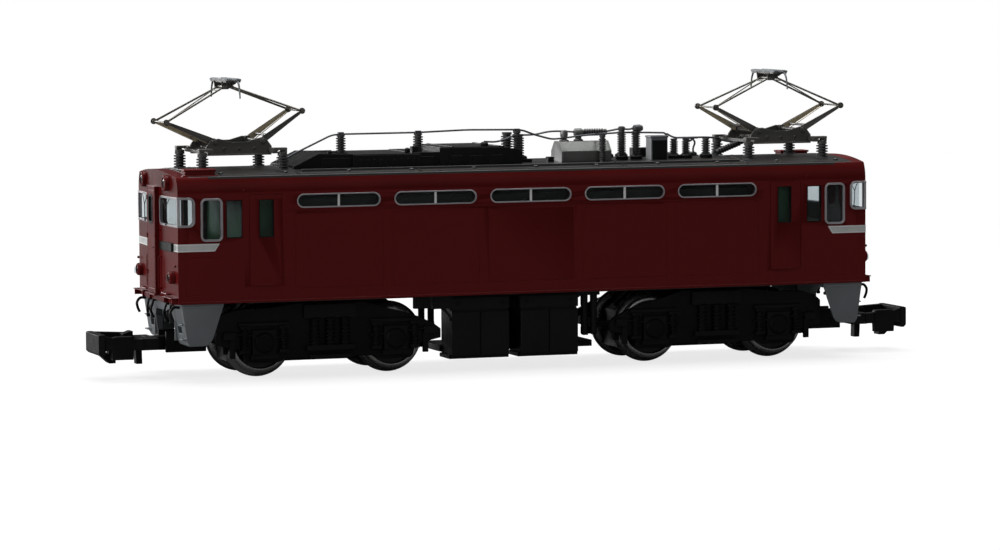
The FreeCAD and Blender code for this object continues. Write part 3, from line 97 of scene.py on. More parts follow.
class Shape:
    """Closed solids in millimetres, gathered into one mesh."""

    def __init__(self, matrix=None):
        self.bm = bmesh.new()
        self.matrix = matrix or Matrix.Identity(4)
        self.finish = 0

    def loft(self, rings, closed=False):
        """Skin through rings of equally many points, capped at both ends or closed on itself."""
        made = [[self.bm.verts.new(self.matrix @ Vector(point)) for point in ring] for ring in rings]
        pairs = list(zip(made, made[1:]))
        if closed:
            pairs.append((made[-1], made[0]))
        faces = []
        for first, second in pairs:
            count = len(first)
            for k in range(count):
                n = (k + 1) % count
                faces.append(self.bm.faces.new((first[k], first[n], second[n], second[k])))
        if not closed:
            faces.append(self.bm.faces.new(made[0][::-1]))
            faces.append(self.bm.faces.new(made[-1]))
        for face in faces:
            face.material_index = self.finish
        return self

    def box(self, x, y, z):
        self.loft([[(x[0], y[0], h), (x[1], y[0], h), (x[1], y[1], h), (x[0], y[1], h)] for h in z])
        return self

    def prism(self, outline, axis, low, high):
        """Outline in the plane across an axis, pushed from low to high along it."""
        order = {"X": lambda a, b, t: (t, a, b), "Y": lambda a, b, t: (a, t, b), "Z": lambda a, b, t: (a, b, t)}
        put = order[axis]
        return self.loft([[put(a, b, t) for a, b in outline] for t in (low, high)])

    def lathe(self, profile, place, axis="Z", sides=24):
        """Profile of (radius, height) turned about an axis through place; heights run along it."""
        x, y, z = place
        rings = []
        for radius, height in profile:
            ring = []
            for a, b in circle(max(radius, 0.004), sides):
                offset = {"Z": (a, b, height), "X": (height, a, b), "Y": (b, height, a)}[axis]
                ring.append((x + offset[0], y + offset[1], z + offset[2]))
            rings.append(ring)
        return self.loft(rings)

    def rod(self, start, end, radius, sides=12, end_radius=None):
        return self.tube([start, end], radius, sides, end_radius)

    def tube(self, path, radius, sides=12, end_radius=None):
        """Round tube along a path, with its cross-section carried round without twist."""
        path = [Vector(point) for point in path]
        end_radius = radius if end_radius is None else end_radius
        ahead = (path[1] - path[0]).normalized()
        side = ahead.orthogonal().normalized()
        rings = []
        for k, point in enumerate(path):
            if 0 < k < len(path) - 1:
                ahead = (path[k + 1] - path[k - 1]).normalized()
            elif k:
                ahead = (path[k] - path[k - 1]).normalized()
            side = (side - ahead * side.dot(ahead)).normalized()
            other = ahead.cross(side)
            share = k / (len(path) - 1)
            size = radius + (end_radius - radius) * share
            rings.append([point + side * a + other * b for a, b in circle(size, sides)])
        return self.loft(rings)

    def coil(self, place, axis, radius, wire, length, turns):
        """Coil spring that starts at place and runs along an axis."""
        x, y, z = place
        path = []
        count = int(turns * 12)
        for k in range(count + 1):
            angle = 2 * math.pi * k / 12
            a, b, t = radius * math.cos(angle), radius * math.sin(angle), length * k / count
            offset = {"Z": (a, b, t), "X": (t, a, b), "Y": (a, t, b)}[axis]
            path.append((x + offset[0], y + offset[1], z + offset[2]))
        return self.tube(path, wire, 6)

    def slice(self, place, normal):
        """Cut a convex solid flat, dropping what lies ahead of the plane."""
        geometry = self.bm.verts[:] + self.bm.edges[:] + self.bm.faces[:]
        found = bmesh.ops.bisect_plane(
            self.bm, geom=geometry, dist=1e-5, plane_co=place, plane_no=normal, clear_outer=True)
        edges = [item for item in found["geom_cut"] if isinstance(item, bmesh.types.BMEdge)]
        bmesh.ops.contextual_create(self.bm, geom=edges)
        return self

    def mesh(self, name):
        bmesh.ops.recalc_face_normals(self.bm, faces=self.bm.faces[:])
        data = bpy.data.meshes.new(name)
        self.bm.to_mesh(data)
        return data

    def carve(self, tool, operation="DIFFERENCE"):
        """Take another shape away from this one, or keep only what both share."""
        data = [self.mesh("blank"), tool.mesh("tool")]
        blank, cutter = [bpy.data.objects.new(item.name, item) for item in data]
        for item in (blank, cutter):
            bpy.context.scene.collection.objects.link(item)
        boolean = blank.modifiers.new("cut", "BOOLEAN")
        boolean.object = cutter
        boolean.operation = operation
        boolean.solver = "EXACT"
        evaluated = blank.evaluated_get(bpy.context.evaluated_depsgraph_get())
        result = bmesh.new()
        result.from_mesh(evaluated.data)
        bmesh.ops.remove_doubles(result, verts=result.verts[:], dist=1e-4)
        self.bm = result
        for item in (blank, cutter):
            bpy.data.objects.remove(item)
        return self

    def piece(self, name, body, materials, stands_for=(), slot=None, bevel=0.05, segments=2, sharp=32):
        """Turn the shape into a shown piece that rides on a CAD body."""
        data = self.mesh(name)
        data.transform(Matrix.Scale(MM, 4))
        for material in materials:
            data.materials.append(material)
        for face in data.polygons:
            face.use_smooth = True
        data.set_sharp_from_angle(angle=math.radians(sharp))
        item = bpy.data.objects.new(name, data)
        bpy.context.scene.collection.objects.link(item)
        if bevel:
            round_edges(item, bevel, segments, sharp)
        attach(item, body)
        if stands_for:
            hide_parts(*stands_for)
        return item


def round_edges(item, width, segments=2, sharp=32):
    bevel = item.modifiers.new("Edges", "BEVEL")
    bevel.width = width * MM
    bevel.segments = segments
    bevel.limit_method = "ANGLE"
    bevel.angle_limit = math.radians(sharp)
    bevel.harden_normals = True
    bevel.use_clamp_overlap = True
    shading = item.modifiers.new("Shading", "WEIGHTED_NORMAL")
    shading.keep_sharp = True
    shading.weight = 100


# ---------------------------------------------------------------- materials

def surface(name, colour, second, roughness, metallic=0.0, spread=0.12, patch=180, grain=5200,
            bump=0.12, coat=0.0, edge=None, scratches=0.0, specular=0.5):
    """Painted, moulded or bare surface: blotchy colour, uneven sheen, fine grain and worn edges."""
    material = bpy.data.materials.new(name)
    material.use_nodes = True
    tree = material.node_tree
    nodes, links = tree.nodes, tree.links
    shader = nodes["Principled BSDF"]
    place = nodes.new("ShaderNodeTexCoord").outputs["Object"]

    def noise(scale, detail=4.0, roughness_value=0.55, stretch=None):
        source = place
        if stretch:
            mapping = nodes.new("ShaderNodeMapping")
            mapping.inputs["Scale"].default_value = stretch
            links.new(place, mapping.inputs["Vector"])
            source = mapping.outputs["Vector"]
        texture = nodes.new("ShaderNodeTexNoise")
        texture.inputs["Scale"].default_value = scale
        texture.inputs["Detail"].default_value = detail
        texture.inputs["Roughness"].default_value = roughness_value
        links.new(source, texture.inputs["Vector"])
        return texture.outputs["Fac"]

    def ramp(source, low, high, first, last):
        item = nodes.new("ShaderNodeMapRange")
        item.inputs["From Min"].default_value = low
        item.inputs["From Max"].default_value = high
        item.inputs["To Min"].default_value = first
        item.inputs["To Max"].default_value = last
        links.new(source, item.inputs["Value"])
        return item.outputs["Result"]

    def mix(factor, first, last):
        item = nodes.new("ShaderNodeMix")
        item.data_type = "RGBA"
        links.new(factor, item.inputs["Factor"])
        for value, socket in ((first, item.inputs["A"]), (last, item.inputs["B"])):
            if isinstance(value, tuple):
                socket.default_value = value + (1.0,)
            else:
                links.new(value, socket)
        return item.outputs["Result"]

    blotches = noise(patch)
    base = mix(ramp(blotches, 0.38, 0.62, 0.0, 1.0), colour, second)
    if edge:
        curve = ramp(nodes.new("ShaderNodeNewGeometry").outputs["Pointiness"], 0.52, 0.60, 0.0, 0.75)
        base = mix(curve, base, edge)
    links.new(base, shader.inputs["Base Color"])
    fine = noise(grain, 3.0)
    rough = ramp(noise(patch * 2.6, 6.0, 0.65), 0.3, 0.7, max(roughness - spread, 0.03), min(roughness + spread, 1.0))
    links.new(rough, shader.inputs["Roughness"])
    height = fine
    if scratches:
        lines = noise(grain * 0.5, 2.0, 0.5, (1.0, 1.0, 24.0))
        blend = nodes.new("ShaderNodeMix")
        blend.inputs["Factor"].default_value = scratches
        links.new(fine, blend.inputs["A"])
        links.new(lines, blend.inputs["B"])
        height = blend.outputs["Result"]
    bumps = nodes.new("ShaderNodeBump")
    bumps.inputs["Strength"].default_value = bump
    bumps.inputs["Distance"].default_value = 0.00004
    links.new(height, bumps.inputs["Height"])
    links.new(bumps.outputs["Normal"], shader.inputs["Normal"])
    shader.inputs["Metallic"].default_value = metallic
    shader.inputs["Coat Weight"].default_value = coat
    shader.inputs["Coat Roughness"].default_value = 0.12
    shader.inputs["Specular IOR Level"].default_value = specular
    return material


def glazing(name, tint, clear, roughness):
    """Moulded clear plastic: mostly see-through, with a soft uneven reflection."""
    material = bpy.data.materials.new(name)
    material.use_nodes = True
    tree = material.node_tree
    nodes, links = tree.nodes, tree.links
    nodes.remove(nodes["Principled BSDF"])
    place = nodes.new("ShaderNodeTexCoord").outputs["Object"]
    waves = nodes.new("ShaderNodeTexNoise")
    waves.inputs["Scale"].default_value = 260
    waves.inputs["Detail"].default_value = 2.0
    links.new(place, waves.inputs["Vector"])
    bumps = nodes.new("ShaderNodeBump")
    bumps.inputs["Strength"].default_value = 0.08
    bumps.inputs["Distance"].default_value = 0.0002
    links.new(waves.outputs["Fac"], bumps.inputs["Height"])
    through = nodes.new("ShaderNodeBsdfTransparent")
    through.inputs["Color"].default_value = tint + (1.0,)
    gloss = nodes.new("ShaderNodeBsdfPrincipled")
    gloss.inputs["Base Color"].default_value = tuple(0.13 * value for value in tint) + (1.0,)
    gloss.inputs["Roughness"].default_value = roughness
    links.new(bumps.outputs["Normal"], gloss.inputs["Normal"])
    haze = nodes.new("ShaderNodeMapRange")
    haze.inputs["From Min"].default_value = 0.3
    haze.inputs["From Max"].default_value = 0.7
    haze.inputs["To Min"].default_value = 1.0 - clear - 0.04
    haze.inputs["To Max"].default_value = 1.0 - clear + 0.04
    links.new(waves.outputs["Fac"], haze.inputs["Value"])
    blend = nodes.new("ShaderNodeMixShader")
    links.new(haze.outputs["Result"], blend.inputs["Fac"])
    links.new(through.outputs["BSDF"], blend.inputs[1])
    links.new(gloss.outputs["BSDF"], blend.inputs[2])
    links.new(blend.outputs["Shader"], nodes["Material Output"].inputs["Surface"])
    return material


RED = surface("red_paint", (0.088, 0.0026, 0.0026), (0.073, 0.0020, 0.0020), 0.33, spread=0.06, patch=120,
              bump=0.08, edge=(0.15, 0.012, 0.013), specular=0.10)
ROOF = surface("roof_grey_paint", (0.0140, 0.0112, 0.0096), (0.0095, 0.0076, 0.0064), 0.34, spread=0.08, bump=0.12,
               edge=(0.07, 0.07, 0.07), specular=0.36)
SILVER = surface("window_frame_silver", (0.40, 0.38, 0.40), (0.31, 0.29, 0.31), 0.40, metallic=0.6, bump=0.1,
                 edge=(0.6, 0.58, 0.6))
STRIPE = surface("stripe_metal_print", (0.66, 0.68, 0.67), (0.55, 0.57, 0.56), 0.40, metallic=0.15, patch=420,
                 bump=0.25, scratches=0.3)
STRIPE_EDGE = surface("stripe_pale_edge", (0.86, 0.86, 0.84), (0.76, 0.76, 0.75), 0.45, bump=0.12)
SKIRT = surface("skirt_grey_plastic", (0.160, 0.176, 0.190), (0.134, 0.148, 0.160), 0.46, bump=0.18,
                edge=(0.20, 0.21, 0.22), specular=0.3)
BLACK = surface("black_plastic", (0.0032, 0.0032, 0.0034), (0.0018, 0.0018, 0.0020), 0.46, bump=0.3,
                edge=(0.012, 0.012, 0.012), specular=0.16)
FRAME_BLACK = surface("bogie_black_plastic", (0.0034, 0.0032, 0.0034), (0.0019, 0.0019, 0.0019), 0.50, bump=0.35,
                      edge=(0.011, 0.0105, 0.010), specular=0.14)
GREEN = surface("cab_green_plastic", (0.040, 0.150, 0.065), (0.028, 0.110, 0.047), 0.5, bump=0.2, specular=0.3)
PORCELAIN = surface("insulator_plastic", (0.016, 0.016, 0.017), (0.010, 0.010, 0.011), 0.34, bump=0.12,
                    edge=(0.10, 0.10, 0.105), specular=0.45)
DARK_CASE = surface("roof_case_black", (0.0014, 0.0016, 0.0014), (0.0008, 0.0010, 0.0008), 0.34, bump=0.22,
                    edge=(0.016, 0.018, 0.017), specular=0.12)
TANK = surface("tank_grey", (0.088, 0.096, 0.086), (0.062, 0.070, 0.058), 0.40, metallic=0.3, bump=0.2,
               edge=(0.34, 0.34, 0.34))
CASE_GREY = surface("breaker_grey", (0.036, 0.038, 0.044), (0.026, 0.028, 0.033), 0.42, metallic=0.3, bump=0.2,
                    edge=(0.25, 0.26, 0.28))
WIRE = surface("bus_wire_metal", (0.11, 0.115, 0.125), (0.07, 0.075, 0.085), 0.40, metallic=0.6, bump=0.15)
PANTO = surface("pantograph_grey_metal", (0.050, 0.050, 0.047), (0.032, 0.032, 0.030), 0.40, metallic=0.5,
                bump=0.2, scratches=0.4, edge=(0.20, 0.19, 0.18))
TUBE = surface("pantograph_tube_metal", (0.17, 0.160, 0.135), (0.12, 0.11, 0.093), 0.36, metallic=0.6,
               bump=0.2, scratches=0.4)
# The lower arms' inner faces take this bronze as painted light, while their outer faces take the dark grey metal as
# painted shade.
BRONZE = surface("pantograph_bronze", (0.40, 0.355, 0.25), (0.29, 0.255, 0.175), 0.36, metallic=0.6, bump=0.2,
                 scratches=0.4, edge=(0.5, 0.44, 0.3))
STRIP = surface("collector_strip", (0.17, 0.185, 0.195), (0.12, 0.13, 0.14), 0.5, metallic=0.4, bump=0.12,
                scratches=0.2, edge=(0.3, 0.32, 0.33), specular=0.3)
DIE_CAST = surface("die_cast_metal", (0.15, 0.15, 0.155), (0.10, 0.10, 0.105), 0.42, metallic=0.7, bump=0.3)
STEEL = surface("steel", (0.36, 0.36, 0.37), (0.27, 0.27, 0.28), 0.28, metallic=0.95, bump=0.1, scratches=0.4)
COPPER = surface("armature_copper", (0.30, 0.12, 0.06), (0.20, 0.08, 0.045), 0.35, metallic=0.8, bump=0.3)
MAGNET = surface("magnet_ferrite", (0.025, 0.025, 0.027), (0.016, 0.016, 0.018), 0.6, bump=0.4)
BRASS = surface("brass", (0.42, 0.28, 0.09), (0.32, 0.21, 0.07), 0.3, metallic=0.9, bump=0.12, scratches=0.3)
GEAR = surface("gear_plastic", (0.55, 0.53, 0.46), (0.46, 0.44, 0.38), 0.45, bump=0.15)
BOARD = surface("circuit_board", (0.018, 0.07, 0.03), (0.013, 0.05, 0.022), 0.4, bump=0.3)
NICKEL = surface("wheel_nickel", (0.035, 0.035, 0.036), (0.022, 0.022, 0.023), 0.36, metallic=0.6, bump=0.12,
                 scratches=0.5, edge=(0.2, 0.2, 0.2))
TREAD = surface("wheel_tread", (0.42, 0.42, 0.41), (0.32, 0.32, 0.31), 0.26, metallic=0.9, bump=0.1, scratches=0.6)
CHASSIS = surface("chassis_dark_green", (0.040, 0.046, 0.038), (0.030, 0.034, 0.028), 0.45, metallic=0.1, bump=0.3,
                  specular=0.35)
INSIDE = surface("cab_inside_dark", (0.0060, 0.0100, 0.0075), (0.0040, 0.0070, 0.0050), 0.6, bump=0.2, specular=0.2)
GLASS = glazing("window_clear", (0.86, 0.89, 0.90), 0.90, 0.08)
LENS = glazing("lamp_lens", (0.55, 0.52, 0.50), 0.45, 0.15)
RED_LENS = glazing("tail_lens", (0.35, 0.02, 0.02), 0.35, 0.2)

SLOT_FINISH = {
    "body_red": RED, "roof_grey": ROOF, "clear": GLASS, "frame_silver": SILVER, "skirt_grey": SKIRT,
    "black_plastic": BLACK, "cab_green": GREEN, "insulator": PORCELAIN, "equipment": DARK_CASE,
    "bus_metal": WIRE, "die_cast": DIE_CAST, "steel": STEEL, "circuit": BOARD, "magnet": MAGNET,
    "brass": BRASS, "gear_plastic": GEAR, "bogie_black": FRAME_BLACK, "wheel_nickel": NICKEL,
    "panto_grey": PANTO, "panto_bronze": BRONZE,
}


# ---------------------------------------------------------------- body shell

HALF_WIDTH = 9.33
CORNER_X = 44.6
PANEL_X = 44.95
DOOR_HALF = 1.85
DOOR_X = 45.5
FLOOR_Z = 8.83
GUTTER_Z = 23.94
GUTTER_Y = 8.7
CROWN_Z = 24.6
SHOULDER_Z = 21.9
SHOULDER_RADIUS = 3.62
SHELL_WALL = 0.9

OVAL_PLACES = [12.27 * count for count in (-2, -1, 0, 1, 2)]
OVAL_SPAN = (10.35, 1.54)
OVAL_Z = 20.87
CAB_WINDOW = (40.4, 2.45, 16.4, 21.3)
PLAIN_WINDOWS = [(37.6, 2.0, 16.6, 21.15), (33.6, 1.85, 16.6, 21.15)]
WRAP_SPAN = (-2.0, 7.0)
WRAP_HEIGHT = (18.15, 21.45)
END_WINDOW = (0.95, 18.2, 21.5)


def crown(y, top=CROWN_Z, edge=GUTTER_Z):
    return edge + (top - edge) * (1 - (y / GUTTER_Y) ** 2)


def body_outline():
    """Cross-section of the shell: upright sides, round shoulders and a crowned roof."""
    centre = HALF_WIDTH - SHOULDER_RADIUS
    last = math.acos((GUTTER_Y - centre) / SHOULDER_RADIUS)
    right = [(HALF_WIDTH, FLOOR_Z)]
    for k in range(9):
        angle = last * k / 8
        right.append((centre + SHOULDER_RADIUS * math.cos(angle), SHOULDER_Z + SHOULDER_RADIUS * math.sin(angle)))
    roof = [(GUTTER_Y * (1 - k / 12), crown(GUTTER_Y * (1 - k / 12))) for k in range(1, 24)]
    left = [(-y, z) for y, z in reversed(right)]
    return right + roof + left


def side_place(side):
    """Maps (distance along X, height, depth outwards) onto one side wall."""
    return lambda s, z, depth: (s, side * (HALF_WIDTH + depth), z)


def end_place(end):
    return lambda s, z, depth: (end * (DOOR_X + depth), s, z)


def corner_place(end, side):
    """Maps onto the wall round one corner; s runs back along the side below zero and over the end above it."""
    run = Vector((PANEL_X - CORNER_X, DOOR_HALF - HALF_WIDTH))
    run.normalize()
    out = Vector((-run.y, run.x))
    mitre = (Vector((0, 1)) + out) / (1 + out.y)

    def place(s, z, depth):
        if abs(s) < 1e-6:
            point, push = Vector((CORNER_X, HALF_WIDTH)), mitre
        elif s < 0:
            point, push = Vector((CORNER_X + s, HALF_WIDTH)), Vector((0, 1))
        else:
            point, push = Vector((CORNER_X, HALF_WIDTH)) + run * s, out
        point = point + push * depth
        return (end * point.x, side * point.y, z)

    return place


def split_at_corner(outline):
    """Add the points where an outline passes the body's corner."""
    points = []
    for first, second in zip(outline, outline[1:] + outline[:1]):
        points.append(first)
        if first[0] * second[0] < 0:
            share = first[0] / (first[0] - second[0])
            points.append((0.0, first[1] + (second[1] - first[1]) * share))
    return points


def oval_outline(x, grow=0.0, steps=14):
    length, height = OVAL_SPAN
    radius = height / 2 + grow
    reach = (length - height) / 2
    points = []
    for sign, first in ((1, -90), (-1, 90)):
        for k in range(steps + 1):
            angle = math.radians(first + 180 * k / steps)
            points.append((x + sign * reach + radius * math.cos(angle), OVAL_Z + radius * math.sin(angle)))
    return points


def window_outline(window, grow, radius):
    x, width, low, top = window
    half = width / 2 + grow
    return rounded_rectangle((x - half, low - grow), (x + half, top + grow), max(radius + grow, 0.05))


def wrap_outline(grow, radius=0.62):
    outline = rounded_rectangle(
        (WRAP_SPAN[0] - grow, WRAP_HEIGHT[0] - grow), (WRAP_SPAN[1] + grow, WRAP_HEIGHT[1] + grow), radius + grow)
    return split_at_corner(outline)


def end_window_outline(grow, radius=0.5):
    half, low, top = END_WINDOW
    return rounded_rectangle((-half - grow, low - grow), (half + grow, top + grow), radius + grow)


def windows():
    """Every window as (kind, place on the wall, function that gives the outline grown by a margin)."""
    found = []
    for side in SIDES:
        for x in OVAL_PLACES:
            found.append(("oval", side_place(side), lambda grow, x=x: oval_outline(x, grow)))
        for _, end in ENDS:
            cab = (end * CAB_WINDOW[0],) + CAB_WINDOW[1:]
            found.append(("cab", side_place(side), lambda grow, cab=cab: window_outline(cab, grow, 0.5)))
            for window in PLAIN_WINDOWS:
                plain = (end * window[0],) + window[1:]
                found.append(("plain", side_place(side), lambda grow, plain=plain: window_outline(plain, grow, 0.12)))
            found.append(("wrap", corner_place(end, side), wrap_outline))
    for _, end in ENDS:
        found.append(("end", end_place(end), end_window_outline))
    return found


WINDOWS = windows()


def slab(shape, outline, place, low, high):
    """Outline pushed through a wall between two depths, its caps folded where it passes the body's corner."""
    shape.loft([[place(s, z, depth) for s, z in outline] for depth in (low, high)])
    fold = [k for k, (s, _) in enumerate(outline) if s == 0.0]
    if len(fold) == 2:
        shape.bm.faces.ensure_lookup_table()
        for cap, step in ((shape.bm.faces[-2], -1), (shape.bm.faces[-1], 1)):
            corners = list(cap.verts)[::step]
            bmesh.utils.face_split(cap, corners[fold[0]], corners[fold[1]])
    return shape


def rim(shape, outer, inner, place, low, high):
    """Frame between two outlines of equally many points."""
    rings = [(outer, low), (outer, high), (inner, high), (inner, low)]
    return shape.loft([[place(s, z, depth) for s, z in line] for line, depth in rings], closed=True)


def groove(tool, place, low, high, width=0.07, depth=0.05):
    """Thin engraved rectangle on a wall."""
    inner = [(low[0], low[1]), (high[0], low[1]), (high[0], high[1]), (low[0], high[1])]
    outer = [
        (low[0] - width, low[1] - width), (high[0] + width, low[1] - width),
        (high[0] + width, high[1] + width), (low[0] - width, high[1] + width)]
    return rim(tool, outer, inner, place, -depth, 0.4)


def side_grooves(tool):
    """Door, hatch and panel lines engraved in both side walls."""
    for side in SIDES:
        place = side_place(side)
        for _, end in ENDS:
            door = sorted((end * 31.7, end * 35.7))
            groove(tool, place, (door[0], 10.9), (door[1], 21.75), depth=0.07)
            panel = sorted((end * 36.4, end * 43.6))
            groove(tool, place, (panel[0], 9.9), (panel[1], 14.4), 0.05, 0.02)
        for x in OVAL_PLACES:
            groove(tool, place, (x - 5.5, 10.4), (x + 5.5, 19.3), 0.05, 0.025)
        groove(tool, place, (-31.0, 19.72), (31.0, 19.76), depth=0.03)


def body_shell():
    blank = Shape()
    blank.prism(body_outline(), "X", -PANEL_X, PANEL_X)
    run = Vector((PANEL_X - CORNER_X, DOOR_HALF - HALF_WIDTH)).normalized()
    for _, end in ENDS:
        for side in SIDES:
            blank.slice((end * CORNER_X, side * HALF_WIDTH, 0), (end * -run.y, side * run.x, 0))
    tool = Shape()
    length = CORNER_X - SHELL_WALL + 0.35
    width = HALF_WIDTH - SHELL_WALL
    tool.box((-length, length), (-width, width), (FLOOR_Z - 1, 23.0))
    blank.carve(tool)
    tool = Shape()
    for kind, place, outline in WINDOWS:
        if kind != "end":
            slab(tool, outline(0), place, -1.0, 0.8)
    blank.carve(tool)
    tool = Shape()
    for kind, place, outline in WINDOWS:
        if kind == "end":
            slab(tool, outline(0.2), place, -3.2, 1.0)
    blank.carve(tool)
    tool = Shape()
    side_grooves(tool)
    blank.carve(tool)
    for face in blank.bm.faces:
        middle = face.calc_center_median()
        hidden = abs(middle.x) < CORNER_X - 0.3 and abs(middle.y) < HALF_WIDTH - 0.75 and middle.z < 23.1
        face.material_index = 1 if hidden else 0
    return blank


def end_doors():
    """Proud gangway doors with their openings, hinges and handles."""
    doors = Shape()
    for _, end in ENDS:
        x = sorted((end * 44.15, end * DOOR_X))
        doors.box(x, (-DOOR_HALF, DOOR_HALF), (9.7, 22.6))
    tool = Shape()
    for kind, place, outline in WINDOWS:
        if kind == "end":
            slab(tool, outline(0), place, -3.2, 1.0)
    for _, end in ENDS:
        groove(tool, end_place(end), (-1.45, 10.3), (1.45, 22.1), depth=0.06)
    doors.carve(tool)
    for _, end in ENDS:
        for z in (12.2, 16.6, 21.2):
            doors.lathe([(0.14, 0), (0.14, 0.55)], (end * (DOOR_X - 0.02), 1.62, z - 0.28), "Z", 10)
        doors.box(sorted((end * (DOOR_X - 0.05), end * (DOOR_X + 0.12))), (-1.2, -0.85), (15.2, 15.35))
    return doors


def hull():
    shell = body_shell()
    shell.piece("body_shell_painted", "locomotive", [RED, INSIDE], ["body_shell"], "body_red", bevel=0.11, segments=3, sharp=28)
    end_doors().piece("end_doors", "locomotive", [RED], slot="body_red", bevel=0.07, segments=3)

    trim = Shape()
    for side in SIDES:
        trim.box((-44.3, 44.3), sorted((side * 9.2, side * 9.38)), (FLOOR_Z - 0.02, FLOOR_Z + 0.28))
        for _, end in ENDS:
            step = sorted((end * 32.1, end * 35.1))
            trim.box(step, sorted((side * 9.3, side * 9.42)), (10.75, 11.0))
            trim.lathe([(0.13, 0), (0.16, 0.1), (0.05, 0.14)], (end * 36.5, side * 9.28, 22.3), "X", 12)
            handle = sorted((end * 31.95, end * 32.15))
            trim.box(handle, sorted((side * 9.3, side * 9.4)), (14.6, 15.4))
    trim.piece("gutters_and_sills", "locomotive", [RED], slot="body_red", bevel=0.05)

    noses = Shape()
    lenses = Shape()
    lamp_lenses = Shape()
    housing = [(1.04, -2.4), (1.02, -0.6), (0.94, 0.26), (0.86, 0.36), (0.70, 0.37), (0.66, 0.2), (0.1, 0.18)]
    glass = [(0.62, 0.16), (0.6, 0.24), (0.38, 0.32), (0.05, 0.35)]
    tail_ring = [(0.78, -0.3), (0.78, 0.42), (0.72, 0.58), (0.64, 0.68), (0.48, 0.7), (0.46, 0.52), (0.05, 0.5)]
    tail_glass = [(0.46, 0.48), (0.44, 0.56), (0.28, 0.63), (0.05, 0.66)]
    for _, end in ENDS:
        for side in SIDES:
            head = (end * PANEL_X, side * 5.35, 23.2)
            tail = (end * (CORNER_X + 0.1), side * 7.65, 12.0)
            for shape, profile, place in ((noses, housing, head), (lenses, glass, head),
                                          (noses, tail_ring, tail), (lamp_lenses, tail_glass, tail)):
                shape.lathe(facing(profile, end), place, "X", 36)
    noses.piece("lamp_housings", "locomotive", [RED], slot="body_red", bevel=0.0)
    lenses.piece("headlamp_lenses", "locomotive", [LENS], slot="clear", bevel=0.0)
    lamp_lenses.piece("tail_lamp_lenses", "locomotive", [RED_LENS], slot="clear", bevel=0.0)


def front_fittings():
    """Footboards, door sill, rivets and dark patches at stripe height on both end panels."""
    red = Shape()
    dark = Shape()
    for _, end in ENDS:
        def along(low, high):
            return sorted((end * low, end * high))

        red.box(along(44.6, 45.75), (-2.2, 2.2), (9.45, 9.65))
        for side in SIDES:
            red.box(along(44.4, 45.5), sorted((side * 4.6, side * 9.1)), (9.5, 9.62))
            red.prism(
                [(side * 2.2, 9.5), (side * 4.8, 9.5), (side * 4.8, 9.0), (side * 3.6, 8.83), (side * 2.2, 8.83)],
                "X", *along(44.5, 45.2))
            for y in (5.0, 8.8):
                red.box(along(44.4, 45.35), sorted((side * y, side * (y + 0.25))), (8.83, 9.5))
            # Dark patches at stripe height running out from each door, much wider on one side of each end.
            reach = 7.7 if side == end else 3.0
            dark.prism([(side * y, z) for y, z in ((2.05, 15.06), (reach, 15.06), (reach, 16.08), (2.05, 16.08))],
                       "X", *along(44.7, 45.03))
            red.lathe(facing([(0.16, -0.1), (0.16, 0.12), (0.05, 0.16)], end),
                      (end * 44.85, side * 8.8, 13.4), "X", 14)
            red.lathe(facing([(0.12, -0.1), (0.12, 0.1), (0.04, 0.12)], end),
                      (end * 44.95, side * 2.4, 17.4), "X", 14)
    red.piece("end_footboards", "locomotive", [RED], slot="body_red", bevel=0.04)
    dark.piece("end_dark_patches", "locomotive", [INSIDE], slot="body_red", bevel=0.04)


# ---------------------------------------------------------------- windows

def window_work():
    frames = Shape()
    dividers = Shape()
    rubber = Shape()
    panes = Shape()
    for kind, place, outline in WINDOWS:
        slab(panes, outline(-0.03), place, -0.62, -0.1)
        if kind in ("oval", "cab", "wrap"):
            width = 0.16 if kind == "oval" else 0.26
            rim(frames, outline(width * 0.55), outline(-width * 0.45), place, -0.3, 0.09)
        elif kind == "end":
            rim(rubber, outline(0.14), outline(-0.14), place, -0.4, 0.06)
        else:
            rim(rubber, outline(0.02), outline(-0.1), place, -0.5, -0.06)
    for side in SIDES:
        for x in OVAL_PLACES:
            slab(dividers, [(x - 0.11, OVAL_Z - 0.7), (x + 0.11, OVAL_Z - 0.7),
                            (x + 0.11, OVAL_Z + 0.7), (x - 0.11, OVAL_Z + 0.7)], side_place(side), -0.3, 0.07)
        for _, end in ENDS:
            place = corner_place(end, side)
            low, top = WRAP_HEIGHT
            outline = [(-0.2, low), (0.0, low), (0.2, low), (0.2, top), (0.0, top), (-0.2, top)]
            slab(frames, outline, place, -0.35, 0.08)
    frames.piece("window_frames_silver", "locomotive", [SILVER], ["window_frames"], "frame_silver", bevel=0.035)
    dividers.piece("oval_window_dividers", "locomotive", [STRIPE_EDGE], slot="frame_silver", bevel=0.03)
    rubber.piece("window_rubbers", "locomotive", [BLACK], slot="black_plastic", bevel=0.02)
    panes.piece("window_panes", "locomotive", [GLASS], ["window_glazing"], "clear", bevel=0.0)

    blinds = Shape()
    for _, end in ENDS:
        x = end * PLAIN_WINDOWS[1][0]
        for side in SIDES:
            blinds.box((x - 1.35, x + 1.35), sorted((side * 7.95, side * 8.15)), (16.0, 21.7))
    blinds.piece("door_window_blinds", "locomotive", [GREEN], slot="cab_green", bevel=0.03)

    wipers = Shape()
    for _, end in ENDS:
        for side in SIDES:
            place = corner_place(end, side)
            foot, fork = place(4.35, 18.2, 0.13), place(4.2, 20.1, 0.16)
            wipers.tube([foot, place(4.3, 19.2, 0.2), fork], 0.05, 8)
            wipers.tube([fork, place(3.7, 20.7, 0.14), place(2.9, 21.35, 0.1)], 0.045, 8)
            wipers.tube([fork, place(4.8, 20.6, 0.14), place(5.5, 21.1, 0.1)], 0.045, 8)
            wipers.lathe([(0.12, -0.08), (0.12, 0.08)], foot, "Y", 12)
    wipers.piece("windscreen_wipers", "locomotive", [BLACK], slot="black_plastic", bevel=0.0)


